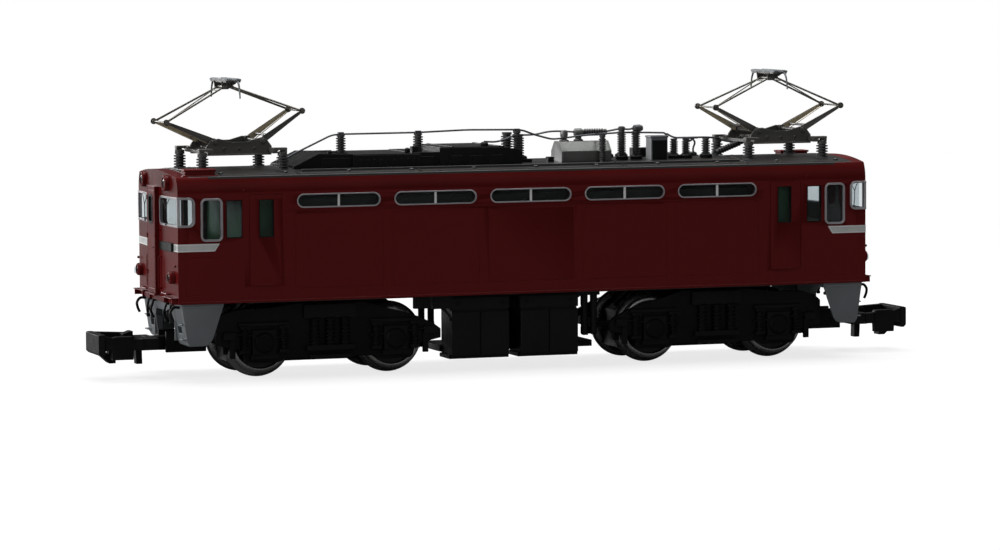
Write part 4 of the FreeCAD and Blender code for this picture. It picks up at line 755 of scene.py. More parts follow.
def stripes():
    """Metal-effect band round each cab with its pale edge lines."""
    low, top = 15.1, 16.02
    edge = 0.13
    band = Shape()
    pale = Shape()
    for _, end in ENDS:
        for side in SIDES:
            wall = corner_place(end, side)
            back_low, back_top = CORNER_X - 40.05, CORNER_X - 39.45
            slant = (back_top - back_low) / (top - low)

            def tip(z):
                return -(back_low + slant * (z - low))

            outline = split_at_corner([(tip(low + edge) + 0.1, low + edge), (5.3, low + edge),
                                       (5.3, top - edge), (tip(top - edge) + 0.1, top - edge)])
            slab(band, outline, wall, -0.02, 0.022)
            for z0, z1 in ((low, low + edge), (top - edge, top)):
                outline = split_at_corner([(tip(z0), z0), (5.3, z0), (5.3, z1), (tip(z1), z1)])
                slab(pale, outline, wall, -0.02, 0.03)
            outline = [(tip(low + edge), low + edge), (tip(low + edge) + 0.13, low + edge),
                       (tip(top - edge) + 0.13, top - edge), (tip(top - edge), top - edge)]
            slab(pale, outline, wall, -0.02, 0.03)
    band.piece("cab_stripe", "locomotive", [STRIPE], slot="frame_silver", bevel=0.0)
    pale.piece("cab_stripe_edges", "locomotive", [STRIPE_EDGE], slot="frame_silver", bevel=0.0)


# ---------------------------------------------------------------- roof

def ribbed(shape, place, height, radius, core, ribs, axis="Z", sides=28):
    """Porcelain insulator with fine sheds, a metal cap and a foot."""
    profile = [(core * 1.25, 0), (core * 1.25, height * 0.08), (core, height * 0.10)]
    pitch = height * 0.78 / ribs
    for k in range(ribs):
        base = height * 0.11 + pitch * k
        profile += [(core, base), (radius, base + pitch * 0.16), (radius, base + pitch * 0.60),
                    (core, base + pitch * 0.80)]
    profile += [(core, height * 0.9), (core * 1.3, height * 0.91), (core * 1.3, height)]
    return shape.lathe(profile, place, axis, sides)


def roof_skin():
    skin = Shape()
    steps = 24

    def arched(half, low_add, add):
        top = []
        for k in range(steps + 1):
            y = half - 2 * half * k / steps
            top.append((y, crown(y) + add))
        return [(-half, GUTTER_Z - low_add), (half, GUTTER_Z - low_add)] + top

    skin.prism(arched(8.62, 0.1, 0.03), "X", -43.1, 43.1)
    for side in SIDES:
        skin.box((-40.6, 40.6), sorted((side * 8.4, side * 8.84)), (23.55, 23.98))
    for low, high in ((-42.6, -29.3), (-28.9, -13.9), (-13.5, 12.6), (13.0, 28.9), (29.3, 42.6)):
        skin.prism(arched(8.05, 0.0, 0.10), "X", low, high)
    for x in (-29.1, -13.7, 12.8, 29.1):
        skin.prism(arched(8.3, 0.05, 0.17), "X", x - 0.12, x + 0.12)
    for side in SIDES:
        for x in range(-40, 41, 8):
            y = side * 7.4
            skin.lathe([(0.32, 0), (0.32, 0.22), (0.2, 0.3), (0.05, 0.3)], (x + 1.3, y, crown(y)), "Z", 16)
        skin.box((-28.5, 28.5), sorted((side * 6.75, side * 7.0)), (24.1, 24.55))
    skin.piece("roof_skin", "locomotive", [ROOF], ["roof_panel"], "roof_grey", bevel=0.04)

    covers = Shape()
    for end, side in ((1, 1), (-1, -1)):
        x = sorted((end * 39.6, end * 43.3))
        y = sorted((side * 6.1, side * 8.1))
        covers.box((x[0] - 0.35, x[1] + 0.35), (y[0] - 0.25, y[1] + 0.25), (23.6, 24.15))
        covers.box(x, y, (24.0, 24.75))
        covers.box((x[0] - 0.15, x[1] + 0.15), (y[0] - 0.12, y[1] + 0.12), (24.62, 24.88))
    covers.piece("whistle_housings", "locomotive", [RED], ["whistle_covers"], "body_red", bevel=0.1, segments=3)


def roof_boxes():
    case = Shape()
    case.prism([(-28.9, 23.9), (-21.4, 23.9), (-21.4, 26.15), (-25.8, 26.28), (-28.9, 24.8)], "Y", -5.2, 5.2)
    for y in (-3.4, 0.0, 3.4):
        case.box((-25.6, -21.6), (y - 0.08, y + 0.08), (24.1, 26.3))
    for side in SIDES:
        case.box((-25.4, -21.9), sorted((side * 5.1, side * 5.3)), (24.5, 25.7))
    case.lathe([(0.22, 0), (0.22, 0.2), (0.3, 0.22), (0.26, 0.36), (0.08, 0.4)], (-24.2, -4.5, 26.15), "Z", 16)
    case.box((-21.5, -12.9), (-5.6, 5.6), (23.9, 26.0))
    case.box((-21.4, -13.0), (-5.4, 5.4), (25.9, 26.12))
    for k in range(9):
        x = -20.7 + 0.85 * k
        case.box((x, x + 0.35), (-5.68, 5.68), (24.35, 25.5))
    case.box((-13.7, -12.9), (-4.6, -3.6), (26.0, 26.9))
    case.lathe([(0.2, 0), (0.34, 0.1), (0.34, 0.5), (0.2, 0.62), (0.06, 0.66)], (-14.2, -4.2, 26.1), "Z", 18)
    case.box((-13.6, -10.3), (-5.3, 5.3), (23.9, 26.2))
    case.prism([(-10.4, 23.9), (0.3, 23.9), (0.3, 25.9), (-0.1, 26.3), (-1.7, 26.6), (-10.4, 26.7)], "Y", -5.4, 5.4)
    case.box((-10.2, -1.9), (-5.0, 5.0), (26.4, 26.76))
    for x in (-12.9, -9.2, -6.6, -4.0):
        case.box((x, x + 1.7), (-5.52, 5.52), (24.4, 25.7))
    for x in (-8.6, -2.6):
        case.box((x - 0.1, x + 0.1), (-5.1, 5.1), (26.6, 26.84))
    case.lathe([(0.42, 0), (0.5, 0.16), (0.5, 0.4), (0.3, 0.55), (0.05, 0.62)], (-4.3, -4.3, 26.7), "Z", 20)
    case.lathe([(0.85, -0.2), (0.85, 0.25), (0.6, 0.4)], (1.0, -2.6, 25.0), "Z", 28)
    case.box((0.2, 2.2), (-3.6, 3.6), (23.9, 25.0))
    case.box((4.3, 5.1), (-3.6, -2.6), (23.9, 25.2))
    case.box((12.9, 17.1), (-4.0, 4.0), (23.9, 24.5))
    case.box((20.3, 26.6), (-4.0, 4.0), (23.9, 24.45))
    for x in (14.4, 16.3, 21.4, 23.0, 25.7):
        for side in SIDES:
            case.lathe([(0.82, -0.4), (0.82, 0.2), (0.6, 0.35)], (x, side * 2.6, 24.8), "Z", 28)
    case.box((17.9, 20.1), (1.9, 3.9), (23.9, 25.8))
    case.box((18.05, 19.95), (-3.95, -3.8), (24.2, 27.0))
    case.piece("roof_cases", "locomotive", [DARK_CASE], ["roof_equipment"], "equipment", bevel=0.06)

    tank = Shape()
    middle, half, low, ridge, top, inset = -2.3, 1.92, 24.35, 25.85, 27.02, 1.1
    outline = [(-half + 0.3, low), (half - 0.3, low), (half, low + 0.3), (half, ridge), (half - inset, top),
               (-half + inset, top), (-half, ridge), (-half, low + 0.3)]
    tank.prism([(middle + y, z) for y, z in outline], "X", 5.95, 12.35)
    bulge = [(middle + y * 1.04, (z - ridge) * 1.05 + ridge) for y, z in outline]
    for x in (5.85, 12.2):
        tank.prism(bulge, "X", x, x + 0.25)
    tank.box((6.1, 12.2), (middle - half + 0.3, middle + half - 0.3), (23.9, 24.5))
    tank.lathe([(0.62, 0), (0.62, 0.2), (0.34, 0.3), (0.34, 0.5), (0.46, 0.6), (0.5, 1.0), (0.4, 1.4), (0.1, 1.46)],
               (6.9, -2.2, 26.98), "Z", 28)
    tank.lathe([(0.62, 0), (0.62, 0.2), (0.4, 0.3), (0.4, 1.1)], (8.9, -1.9, 26.98), "Z", 28)
    tank.lathe([(0.2, 0), (0.5, 0.05), (0.52, 0.9), (0.44, 1.05)], (8.35, -1.9, 28.08), "X", 24)
    tank.piece("transformer_tank", "locomotive", [TANK], slot="equipment", bevel=0.07, segments=3)

    grey = Shape()
    grey.box((17.9, 20.1), (-3.85, -1.9), (23.9, 27.45))
    grey.box((17.8, 20.2), (-3.9, -1.85), (27.3, 27.55))
    for x in (14.4, 16.3):
        grey.lathe([(0.72, 0), (0.72, 0.2), (0.56, 0.3), (0.5, 0.34)], (x, -2.6, 24.75), "Z", 28)
    grey.lathe([(0.2, 0), (0.42, 0.15), (0.46, 0.9), (0.3, 1.3)], (15.9, -2.6, 28.5), "X", 24)
    grey.piece("breaker_case", "locomotive", [CASE_GREY], slot="equipment", bevel=0.07)


def insulator_places():
    for _, end in ENDS:
        for along in SIDES:
            for side in SIDES:
                yield end * 35.4 + along * 5.0, side * 5.3


def roof_porcelain():
    work = Shape()
    for x, y in insulator_places():
        base = crown(y) - 0.15
        ribbed(work, (x, y, base), 26.35 - base, 0.74, 0.46, 5)
        work.lathe([(0.95, -0.1), (0.95, 0.18), (0.7, 0.3)], (x, y, base), "Z", 28)
    for x, y, low, top, radius in (
            (-22.2, -2.6, 26.1, 28.4, 0.6), (-12.3, -2.6, 26.1, 28.4, 0.62), (0.55, -2.6, 25.2, 28.5, 0.58),
            (1.4, -1.2, 24.9, 28.0, 0.56), (1.05, 2.6, 24.9, 28.1, 0.75), (14.4, -2.6, 24.95, 28.6, 0.56),
            (16.3, -2.6, 24.95, 28.6, 0.56), (21.4, -2.6, 24.9, 27.1, 0.52), (23.0, -2.6, 24.9, 27.1, 0.52),
            (25.7, -2.6, 24.9, 27.1, 0.54), (11.05, -4.75, 24.4, 27.85, 0.46), (-29.4, -2.6, 24.3, 25.6, 0.5)):
        ribbed(work, (x, y, low), top - low, radius, radius * 0.64, max(4, int((top - low) / 0.36)))
    ribbed(work, (9.3, -1.9, 28.08), 3.3, 0.46, 0.3, 8, axis="X")
    start, stop = Vector((28.2, 0.2, 25.1)), Vector((31.9, 0.2, 26.5))
    turn = (stop - start).to_track_quat("Z", "Y").to_matrix().to_4x4()
    work.matrix = Matrix.Translation(start) @ turn
    ribbed(work, (0, 0, 0), (stop - start).length, 0.42, 0.27, 9)
    work.matrix = Matrix.Identity(4)
    work.lathe([(0.5, 0), (0.5, 0.5), (0.3, 0.7), (0.3, 1.0)], (28.0, 0.2, 24.4), "Z", 24)
    work.piece("porcelain_insulators", "locomotive", [PORCELAIN], ["roof_insulators"], "insulator", bevel=0.0, sharp=45)


def roof_wiring():
    work = Shape()
    y = -2.6
    routes = [
        [(-29.4, y, 24.6), (-29.4, y, 25.5), (-28.2, y, 26.2), (-23.4, y, 28.4), (-22.2, y, 28.5), (-12.3, y, 28.52),
         (-6.0, y, 28.72), (0.5, y, 28.62), (1.4, y, 28.5), (3.0, y, 27.9), (5.1, y, 27.35), (6.2, y, 27.4),
         (9.5, y, 27.75), (12.0, y, 27.9), (14.4, y, 28.0), (17.2, y, 27.95), (20.2, y, 27.85), (20.5, y, 27.3)],
        [(-4.3, -4.3, 27.3), (-2.6, -4.0, 27.2), (-0.9, -3.3, 27.6), (0.5, y, 28.0), (1.6, -1.8, 27.9),
         (3.2, -1.6, 27.9), (5.0, -1.6, 28.25), (6.2, -1.6, 28.3), (8.5, -1.6, 28.15)],
        [(12.5, -1.6, 28.1), (14.3, y, 28.5), (15.4, y, 28.35), (16.3, y, 28.6)],
        [(20.4, y, 27.75), (21.4, y, 27.2), (23.0, y, 27.2), (25.7, y, 27.2), (28.0, y + 0.8, 27.0)],
        [(23.0, y, 27.1), (23.8, y, 27.15), (24.3, y, 26.6), (23.9, y, 25.7), (24.2, y, 24.9)],
        [(23.2, y, 27.1), (23.6, y, 26.7), (24.0, y, 27.15), (24.6, y, 27.15)],
        [(27.0, -1.8, 27.1), (29.6, 0.2, 26.5), (31.2, 0.2, 26.3)],
    ]
    for route in routes:
        work.tube(smooth_path(route, 0.9), 0.12, 10)
    for x in (-22.2, -12.3, 0.55):
        work.box((x - 0.34, x + 0.34), (y - 0.26, y + 0.26), (28.34, 28.74))
    for x in (14.4, 16.3):
        work.lathe([(0.42, 0), (0.42, 0.2), (0.2, 0.28)], (x, y, 28.5), "Z", 20)
    work.box((10.75, 11.35), (-4.95, -4.45), (27.75, 28.05))
    work.box((10.9, 11.2), (-4.75, -2.6), (27.8, 27.98))
    work.piece("high_voltage_wires", "locomotive", [WIRE], ["bus_wires"], "bus_metal", bevel=0.0)


# ---------------------------------------------------------------- ends below the body

def skirts():
    """Hollow pilots with folded edges, steps and a wide coupler opening."""
    work = Shape()
    outline = [(38.9, 8.83), (44.2, 8.83), (43.55, 4.3), (43.2, 3.75), (41.4, 3.75), (40.75, 4.0), (40.35, 4.6)]
    for _, end in ENDS:
        blank = Shape()
        blank.prism([(end * x, z) for x, z in outline], "Y", -9.15, 9.15)
        inside = Shape()
        inside.box(sorted((end * 30, end * 42.9)), (-8.7, 8.7), (0, 12))
        blank.carve(inside)
        openings = Shape()
        hole = [(-4.5, 0), (4.5, 0), (4.5, 6.6), (3.6, 7.5), (-3.6, 7.5), (-4.5, 6.6)]
        openings.prism(hole, "X", *sorted((end * 41, end * 47)))
        for side in SIDES:
            openings.box(sorted((end * 42, end * 46)), sorted((side * 5.6, side * 7.4)), (5.2, 6.0))
        blank.carve(openings)
        data = blank.mesh("skirt")
        work.bm.from_mesh(data)
    for _, end in ENDS:
        for side in SIDES:
            for z in (4.5, 6.3):
                work.box(sorted((end * 43.1, end * 44.15)), sorted((side * 7.6, side * 9.0)), (z, z + 0.16))
            work.box(sorted((end * 43.4, end * 43.95)), sorted((side * 4.75, side * 5.0)), (4.2, 8.3))
            work.box(sorted((end * 39.4, end * 43.9)), sorted((side * 9.1, side * 9.22)), (8.35, 8.6))
    work.piece("end_pilots", "locomotive", [SKIRT], ["end_skirts"], "skirt_grey", bevel=0.09, segments=3)


def hoses_and_rails():
    hoses = Shape()
    rails = Shape()
    for _, end in ENDS:
        for side in SIDES:
            for y, reach in ((3.1, 0.55), (5.3, 0.35)):
                x = 44.35
                route = [(end * x, side * y, 8.9), (end * (x + 0.2), side * y, 8.3),
                         (end * (x + reach), side * y, 7.4), (end * (x + 0.2), side * (y + 0.2), 6.6)]
                hoses.tube(smooth_path(route, 0.8), 0.15, 12)
                hoses.lathe([(0.22, -0.2), (0.22, 0.2)], (end * (x + 0.02), side * y, 8.6), "Z", 16)
                hoses.lathe([(0.12, -0.2), (0.24, -0.14), (0.24, 0.14), (0.16, 0.2)],
                            (end * (x + 0.2), side * (y + 0.2), 6.5), "Z", 16)
            cock = [(end * (x - 0.1), side * (4.2 - 0.1), 7.9), (end * (x + 0.35), side * 4.2, 7.7),
                    (end * (x + 0.3), side * 4.4, 7.2)]
            hoses.tube(smooth_path(cock, 0.3), 0.13, 10)
            big = [(end * 44.2, side * 8.1, 8.4), (end * 44.9, side * 8.1, 8.5), (end * 45.35, side * 8.1, 7.9),
                   (end * 45.2, side * 8.1, 7.2), (end * 44.95, side * 8.1, 6.7)]
            hoses.tube(smooth_path(big, 0.7), 0.17, 12)
            rails.tube(smooth_path([(end * 44.85, side * 2.75, 10.4), (end * 45.3, side * 2.75, 10.4),
                                    (end * 45.3, side * 2.75, 14.2), (end * 44.85, side * 2.75, 14.2)], 0.3), 0.1, 8)
            rails.tube(smooth_path([(end * 44.7, side * 3.6, 9.9), (end * 45.2, side * 3.6, 9.9),
                                    (end * 45.2, side * 6.2, 9.9), (end * 44.7, side * 6.2, 9.9)], 0.3), 0.1, 8)
    hoses.piece("air_hoses", "locomotive", [BLACK], ["brake_hoses"], "black_plastic", bevel=0.0)
    rails.piece("end_rails", "locomotive", [RED], ["end_handrails"], "body_red", bevel=0.0)


# ---------------------------------------------------------------- underframe

def underframe():
    """Battery and equipment cases: one row on each side, placed as a half turn of each other."""
    work = Shape()
    rows = ((-1, ((-10.0, -2.3), (-1.1, 6.7))), (1, ((-5.2, 1.1), (2.3, 10.0))))
    for side, row in rows:
        for low, high in row:
            work.box((low + 0.25, high - 0.25), sorted((side * 3.4, side * 7.75)), (1.0, 8.6))
            work.box((low, high), sorted((side * 3.4, side * 7.6)), (6.9, 8.7))
            work.box((low, high), sorted((side * 3.4, side * 7.3)), (0.9, 1.4))
            middle = (low + high) / 2
            for first, last in ((low + 0.15, middle - 0.06), (middle + 0.06, high - 0.15)):
                work.box((first, last), sorted((side * 7.6, side * 7.97)), (1.3, 6.7))
            work.box((low + 0.1, high - 0.1), sorted((side * 7.6, side * 7.92)), (6.95, 8.45))
            for x in (low + 1.0, high - 1.0):
                work.lathe(facing([(0.26, -0.1), (0.26, 0.1), (0.1, 0.14)], side), (x, side * 7.9, 7.7), "Y", 16)
        shelf = sorted((side * -4.9, side * -9.6))
        work.box(shelf, sorted((side * 3.4, side * 7.5)), (8.2, 8.75))
        for x in (7.65, 8.9):
            work.lathe([(0.36, 0), (0.46, 0.2), (0.46, 0.9), (0.42, 1.1), (0.42, 3.6), (0.46, 3.8), (0.46, 5.2)],
                       (-side * x, side * 7.1, 3.3), "Z", 20)
        step = sorted((side * 12.9, side * 15.0))
        work.box(step, sorted((side * 8.3, side * 8.95)), (7.35, 8.83))
        for k in range(4):
            rib = side * (13.15 + 0.5 * k)
            work.box((rib - 0.1, rib + 0.1), sorted((side * 8.9, side * 9.1)), (7.35, 8.8))
        bracket = sorted((side * 9.8, side * 12.3))
        work.box(bracket, sorted((side * 6.9, side * 8.0)), (7.15, 8.83))
        work.tube(smooth_path([(side * 12.2, side * 7.8, 7.6), (side * 10.9, side * 7.9, 7.2),
                               (side * 10.1, side * 7.9, 6.2), (side * 9.9, side * 7.7, 5.6)], 0.6), 0.16, 8)
    work.box((-6.4, 6.4), (-3.5, 3.5), (1.5, 6.5))
    work.box((-10.0, 10.0), (-3.5, 3.5), (1.5, 2.3))
    work.piece("underframe_cases", "locomotive", [BLACK], ["underframe_boxes"], "black_plastic", bevel=0.07)


# ---------------------------------------------------------------- bogies

BOGIE_X = 25.2
AXLE_OFFSET = 8.3
AXLE_Z = 3.75


def side_frame_outline(x, end):
    """Side view of a frame; the top drops towards the middle of the locomotive."""
    outward = [(-14.2, 3.6), (-14.2, 4.7), (-13.4, 5.3), (-11.6, 6.2), (-9.8, 6.85), (-7.2, 7.5), (-5.6, 8.0),
               (-4.4, 8.35), (4.4, 8.35), (6.0, 8.1), (8.0, 7.9), (11.6, 7.8), (13.4, 7.3), (14.2, 6.6), (14.2, 3.6),
               (12.4, 3.2), (10.9, 2.8), (10.6, 1.6), (10.2, 1.3), (6.4, 1.3), (5.6, 1.7), (3.4, 1.75),
               (2.4, 1.5), (-2.4, 1.5), (-3.4, 1.75), (-5.6, 1.7), (-6.4, 1.3),
               (-10.2, 1.3), (-10.6, 1.6), (-10.9, 2.8), (-12.4, 3.2)]
    return [(x + end * a, b) for a, b in outward]


def bogie(end_name, end):
    x = end * BOGIE_X
    work = Shape()
    for side in SIDES:
        work.prism(side_frame_outline(x, end), "Y", *sorted((side * 6.4, side * 7.05)))
        for sign in SIDES:
            axle = x + sign * AXLE_OFFSET
            face = side * 7.05

            def out(low, high):
                return sorted((face + side * low, face + side * high))

            work.box((axle - 1.5, axle + 1.5), out(-0.1, 0.45), (2.3, 5.3))
            cap = [(1.25, 0.35), (1.25, 0.6), (1.05, 0.78), (0.5, 0.84), (0.05, 0.85)]
            if side < 0:
                cap = [(r, -h) for r, h in reversed(cap)]
            work.lathe(cap, (axle, face, AXLE_Z), "Y", 32)
            for near in SIDES:
                spring_x = axle + near * 2.45
                work.coil((spring_x, face + side * 0.18, 2.9), "Z", 0.42, 0.12, 2.7, 6)
                work.lathe([(0.34, 0), (0.34, 2.7)], (spring_x, face + side * 0.18, 2.9), "Z", 14)
                work.box((spring_x - 0.6, spring_x + 0.6), out(-0.1, 0.6), (2.5, 2.95))
                work.box((spring_x - 0.6, spring_x + 0.6), out(-0.1, 0.6), (5.45, 5.8))
            work.box((axle - 3.2, axle + 3.2), out(-0.1, 0.35), (5.75, 6.2))
            work.box((axle - 1.7, axle + 1.7), out(-0.1, 0.6), (1.75, 2.35))
            rod = axle + sign * 3.9
            work.box((rod - 0.35, rod + 0.35), out(-0.2, 0.2), (1.9, 4.4))
            shoe = axle + sign * 4.35
            work.box((shoe - 0.3, shoe + 0.3), sorted((side * 4.4, side * 5.6)), (2.3, 5.0))
        work.box((x - 3.3, x + 3.3), sorted((side * 6.9, side * 7.5)), (6.5, 8.2))
        for spring_x in (x - 1.9, x, x + 1.9):
            work.coil((spring_x, side * 7.3, 3.2), "Z", 0.5, 0.14, 3.3, 7)
            work.lathe([(0.42, 0), (0.42, 3.3)], (spring_x, side * 7.3, 3.2), "Z", 14)
        work.box((x - 3.0, x + 3.0), sorted((side * 6.9, side * 7.8)), (2.6, 3.25))
        work.box((x - 2.6, x + 2.6), sorted((side * 6.9, side * 7.6)), (1.6, 2.1))
        work.rod((x - 12.6, side * 7.3, 4.9), (x - 5.0, side * 7.3, 4.2), 0.17, 8)
        work.rod((x + 12.6, side * 7.3, 4.9), (x + 5.0, side * 7.3, 4.2), 0.17, 8)
        for sign in SIDES:
            work.box(sorted((x + sign * 11.9, x + sign * 13.4)), sorted((side * 6.9, side * 7.5)), (4.2, 5.1))
            work.box((x + sign * 2.2 - 0.8, x + sign * 2.2 + 0.8), sorted((side * 3.4, side * 6.5)), (5.5, 7.4))
        work.box((x - 3.0, x + 3.0), sorted((side * 3.4, side * 6.5)), (3.0, 4.6))
    for sign in SIDES:
        beam = sorted((x + sign * 13.2, x + sign * 14.2))
        work.box(beam, (-6.5, 6.5), (3.7, 6.2 if sign == end else 4.6))
    tongue = sorted((x + end * 11.3, x + end * 13.3))
    work.box(tongue, (-2.4, 2.4), (3.6, 5.4))
    pocket = sorted((x + end * 14.1, x + end * 16.5))
    work.box(pocket, (-2.1, 2.1), (2.5, 5.0))
    for side in SIDES:
        work.box(sorted((x + end * 16.4, x + end * 19.1)), sorted((side * 1.55, side * 2.1)), (2.5, 5.0))
    work.lathe([(0.36, 0), (0.36, 4.3)], (x + end * 18.0, -2.15, 3.7), "Y", 18)
    work.piece(end_name + "_bogie_frames", end_name + "_bogie", [FRAME_BLACK], [end_name + "_bogie_side_frames"],
               "bogie_black", bevel=0.06)


def wheel_details(end_name, end):
    """Bright treads and dished faces laid on the wheels."""
    for place, sign in (("outer", 1), ("inner", -1)):
        x = end * (BOGIE_X + sign * AXLE_OFFSET)
        work = Shape()
        for side in SIDES:
            tread = [(3.30, 5.70), (3.62, 5.72), (3.775, 5.62), (3.79, 4.55), (4.05, 4.45), (4.28, 4.2), (4.34, 4.05),
                     (4.28, 3.85), (4.05, 3.68), (3.3, 3.66)]
            profile = [(r, side * y) for r, y in tread]
            rings = []
            for r, y in profile:
                rings.append([(x + a, y, AXLE_Z + b) for a, b in circle(r, 64)])
            work.loft(rings, closed=True)
            hub = [(0.05, 5.62), (1.2, 5.62), (1.25, 5.78), (0.75, 5.86), (0.7, 6.1), (0.05, 6.12)]
            if side < 0:
                hub = [(r, -h) for r, h in reversed(hub)]
            work.lathe(hub, (x, 0, AXLE_Z), "Y", 32)
        work.piece("%s_%s_wheel_treads" % (end_name, place), "%s_%s_wheelset" % (end_name, place), [TREAD],
                   slot="wheel_nickel", bevel=0.0, sharp=40)


def hook(end_name, end):
    """Swinging coupler: box-shaped buffing head with its near arm, hook and tail."""
    x = end * BOGIE_X
    tip = 27.75
    work = Shape()

    def along(low, high):
        return sorted((x + end * low, x + end * high))

    def plate(outline, low, high):
        return work.prism([(x + end * (tip - a), z) for a, z in outline], "Y", low, high)

    work.lathe([(0.9, 0), (0.9, 2.6)], (x + end * 18.0, -1.3, 3.7), "Y", 28)
    work.box(along(18.4, 21.4), (-0.95, 0.95), (3.05, 4.4))
    work.box(along(20.2, 22.4), (-3.1, 3.1), (2.95, 4.35))
    plate([(0.0, 2.7), (0.0, 4.9), (0.25, 5.0), (0.8, 5.0), (0.9, 4.9), (0.9, 2.6), (0.7, 2.4), (0.3, 2.4)], -3.3, 3.3)
    plate([(0.7, 4.95), (5.4, 4.7), (5.4, 3.1), (0.7, 3.0)], 2.5, 3.3)
    plate([(1.6, 4.55), (2.2, 4.7), (4.2, 4.7), (4.4, 4.3), (4.3, 1.9), (1.7, 1.9)], -3.3, -2.3)
    plate([(0.7, 4.9), (1.7, 4.6), (1.7, 3.2), (0.7, 3.0)], -3.3, -2.6)
    plate([(4.2, 4.4), (5.6, 4.3), (5.6, 3.0), (4.2, 3.0)], -3.2, -2.3)
    plate([(0.2, 3.1), (0.7, 2.4), (1.9, 1.3), (2.7, 1.3), (2.7, 3.5), (2.0, 3.5), (1.9, 2.4), (0.9, 3.1)], -0.8, 0.8)
    plate([(2.4, 3.9), (5.4, 3.9), (5.4, 3.3), (2.4, 3.2)], -0.8, 0.8)
    plate([(5.2, 3.4), (6.0, 3.4), (6.05, 1.1), (5.3, 1.1)], -0.6, 0.6)
    plate([(4.0, 4.65), (5.0, 5.0), (5.3, 5.0), (5.3, 4.2), (4.0, 4.2)], 0.9, 2.5)
    work.piece(end_name + "_coupler_hook", end_name + "_coupler", [FRAME_BLACK], [end_name + "_coupler"],
               "bogie_black", bevel=0.06, segments=3)


# ---------------------------------------------------------------- pantographs

PANTO_X = 35.4
PIVOT_Z = 27.9
LOWER_ARM = 6.28
UPPER_ARM = 8.78
REST_ANGLES = {("front", 1): (28.5, 24.0), ("front", -1): (28.5, 24.0),
               ("rear", 1): (34.4, 20.0), ("rear", -1): (22.5, 28.3)}


def arm_points(end_name, end, along):
    """Lower pivot, knuckle and head pivot of one arm pair as (x, z)."""
    lower, upper = [math.radians(angle) for angle in REST_ANGLES[end_name, along]]
    x = end * PANTO_X + along * 3.0
    knuckle = (x + along * LOWER_ARM * math.cos(lower), PIVOT_Z + LOWER_ARM * math.sin(lower))
    head = (knuckle[0] - along * UPPER_ARM * math.cos(upper), knuckle[1] + UPPER_ARM * math.sin(upper))
    return (x, PIVOT_Z), knuckle, head


def arm_frame(start, stop):
    """Matrix whose X axis runs from one point to the other in the XZ plane."""
    direction = Vector((stop[0] - start[0], 0, stop[1] - start[1])).normalized()
    up = Vector((0, 1, 0)).cross(direction)
    if up.z < 0:
        up = -up
    across = up.cross(direction)
    turn = Matrix((direction, across, up)).transposed().to_4x4()
    return Matrix.Translation((start[0], 0, start[1])) @ turn


def pantograph_base(end_name, end):
    """Two deep side plates with their cross beams, pivots and insulator brackets."""
    x = end * PANTO_X
    work = Shape()
    for side in SIDES:
        y = sorted((side * 3.5, side * 3.85))
        outline = [(x - 3.9, 26.3), (x + 3.9, 26.3), (x + 4.1, 26.7), (x + 4.1, 27.3), (x + 3.5, 28.1),
                   (x + 2.5, 28.3), (x + 0.9, 27.85), (x - 0.9, 27.85), (x - 2.5, 28.3), (x - 3.5, 28.1),
                   (x - 4.1, 27.3), (x - 4.1, 26.7)]
        work.prism(outline, "Y", *y)
        work.box((x - 4.0, x + 4.0), sorted((side * 3.35, side * 4.05)), (26.25, 26.45))
        for shift in (-1.9, 0.0, 1.9):
            work.lathe(facing([(0.26, -0.05), (0.26, 0.12), (0.12, 0.16)], side), (x + shift, side * 3.8, 27.0), "Y", 16)
        for along in SIDES:
            pivot = x + along * 3.0
            work.lathe(facing([(0.36, -0.12), (0.4, 0.0), (0.4, 0.1), (0.24, 0.18)], side),
                       (pivot, side * 3.9, PIVOT_Z), "Y", 24)
            foot_x = x + along * 5.0
            work.lathe([(0.58, 26.3), (0.58, 26.6), (0.4, 26.7)], (foot_x, side * 5.3, 0), "Z", 24)
            bracket = sorted((x + along * 3.9, x + along * 5.5))
            work.box(bracket, sorted((side * 4.85, side * 5.75)), (26.85, 27.15))
            work.box(sorted((x + along * 5.15, x + along * 5.5)), sorted((side * 4.9, side * 5.7)), (26.5, 26.9))
            arm = sorted((x + along * 3.7, x + along * 4.4))
            work.box(arm, sorted((side * 3.6, side * 5.7)), (26.7, 27.1))
            work.rod((foot_x, side * 5.3, 26.6), (foot_x, side * 5.3, 27.0), 0.3, 16)
    for along in SIDES:
        beam = x + along * 4.05
        work.box((beam - 0.3, beam + 0.3), (-5.5, 5.5), (26.45, 26.8))
        work.lathe([(0.22, 0), (0.22, 8.0)], (x + along * 3.0, -4.0, PIVOT_Z), "Y", 20)
    for y in (-1.2, 1.2):
        work.rod((x - 4.0, y, 26.9), (x + 4.0, y, 26.9), 0.09, 8)
        for along in SIDES:
            work.coil((x + along * 2.4 - 1.0, y, 26.9), "X", 0.3, 0.07, 2.0, 12)
    work.box((x - 0.7, x + 0.7), (-3.5, 3.5), (26.4, 26.7))
    work.piece(end_name + "_pantograph_underframe", "locomotive", [PANTO], [end_name + "_pantograph_base"],
               "panto_grey", bevel=0.035)


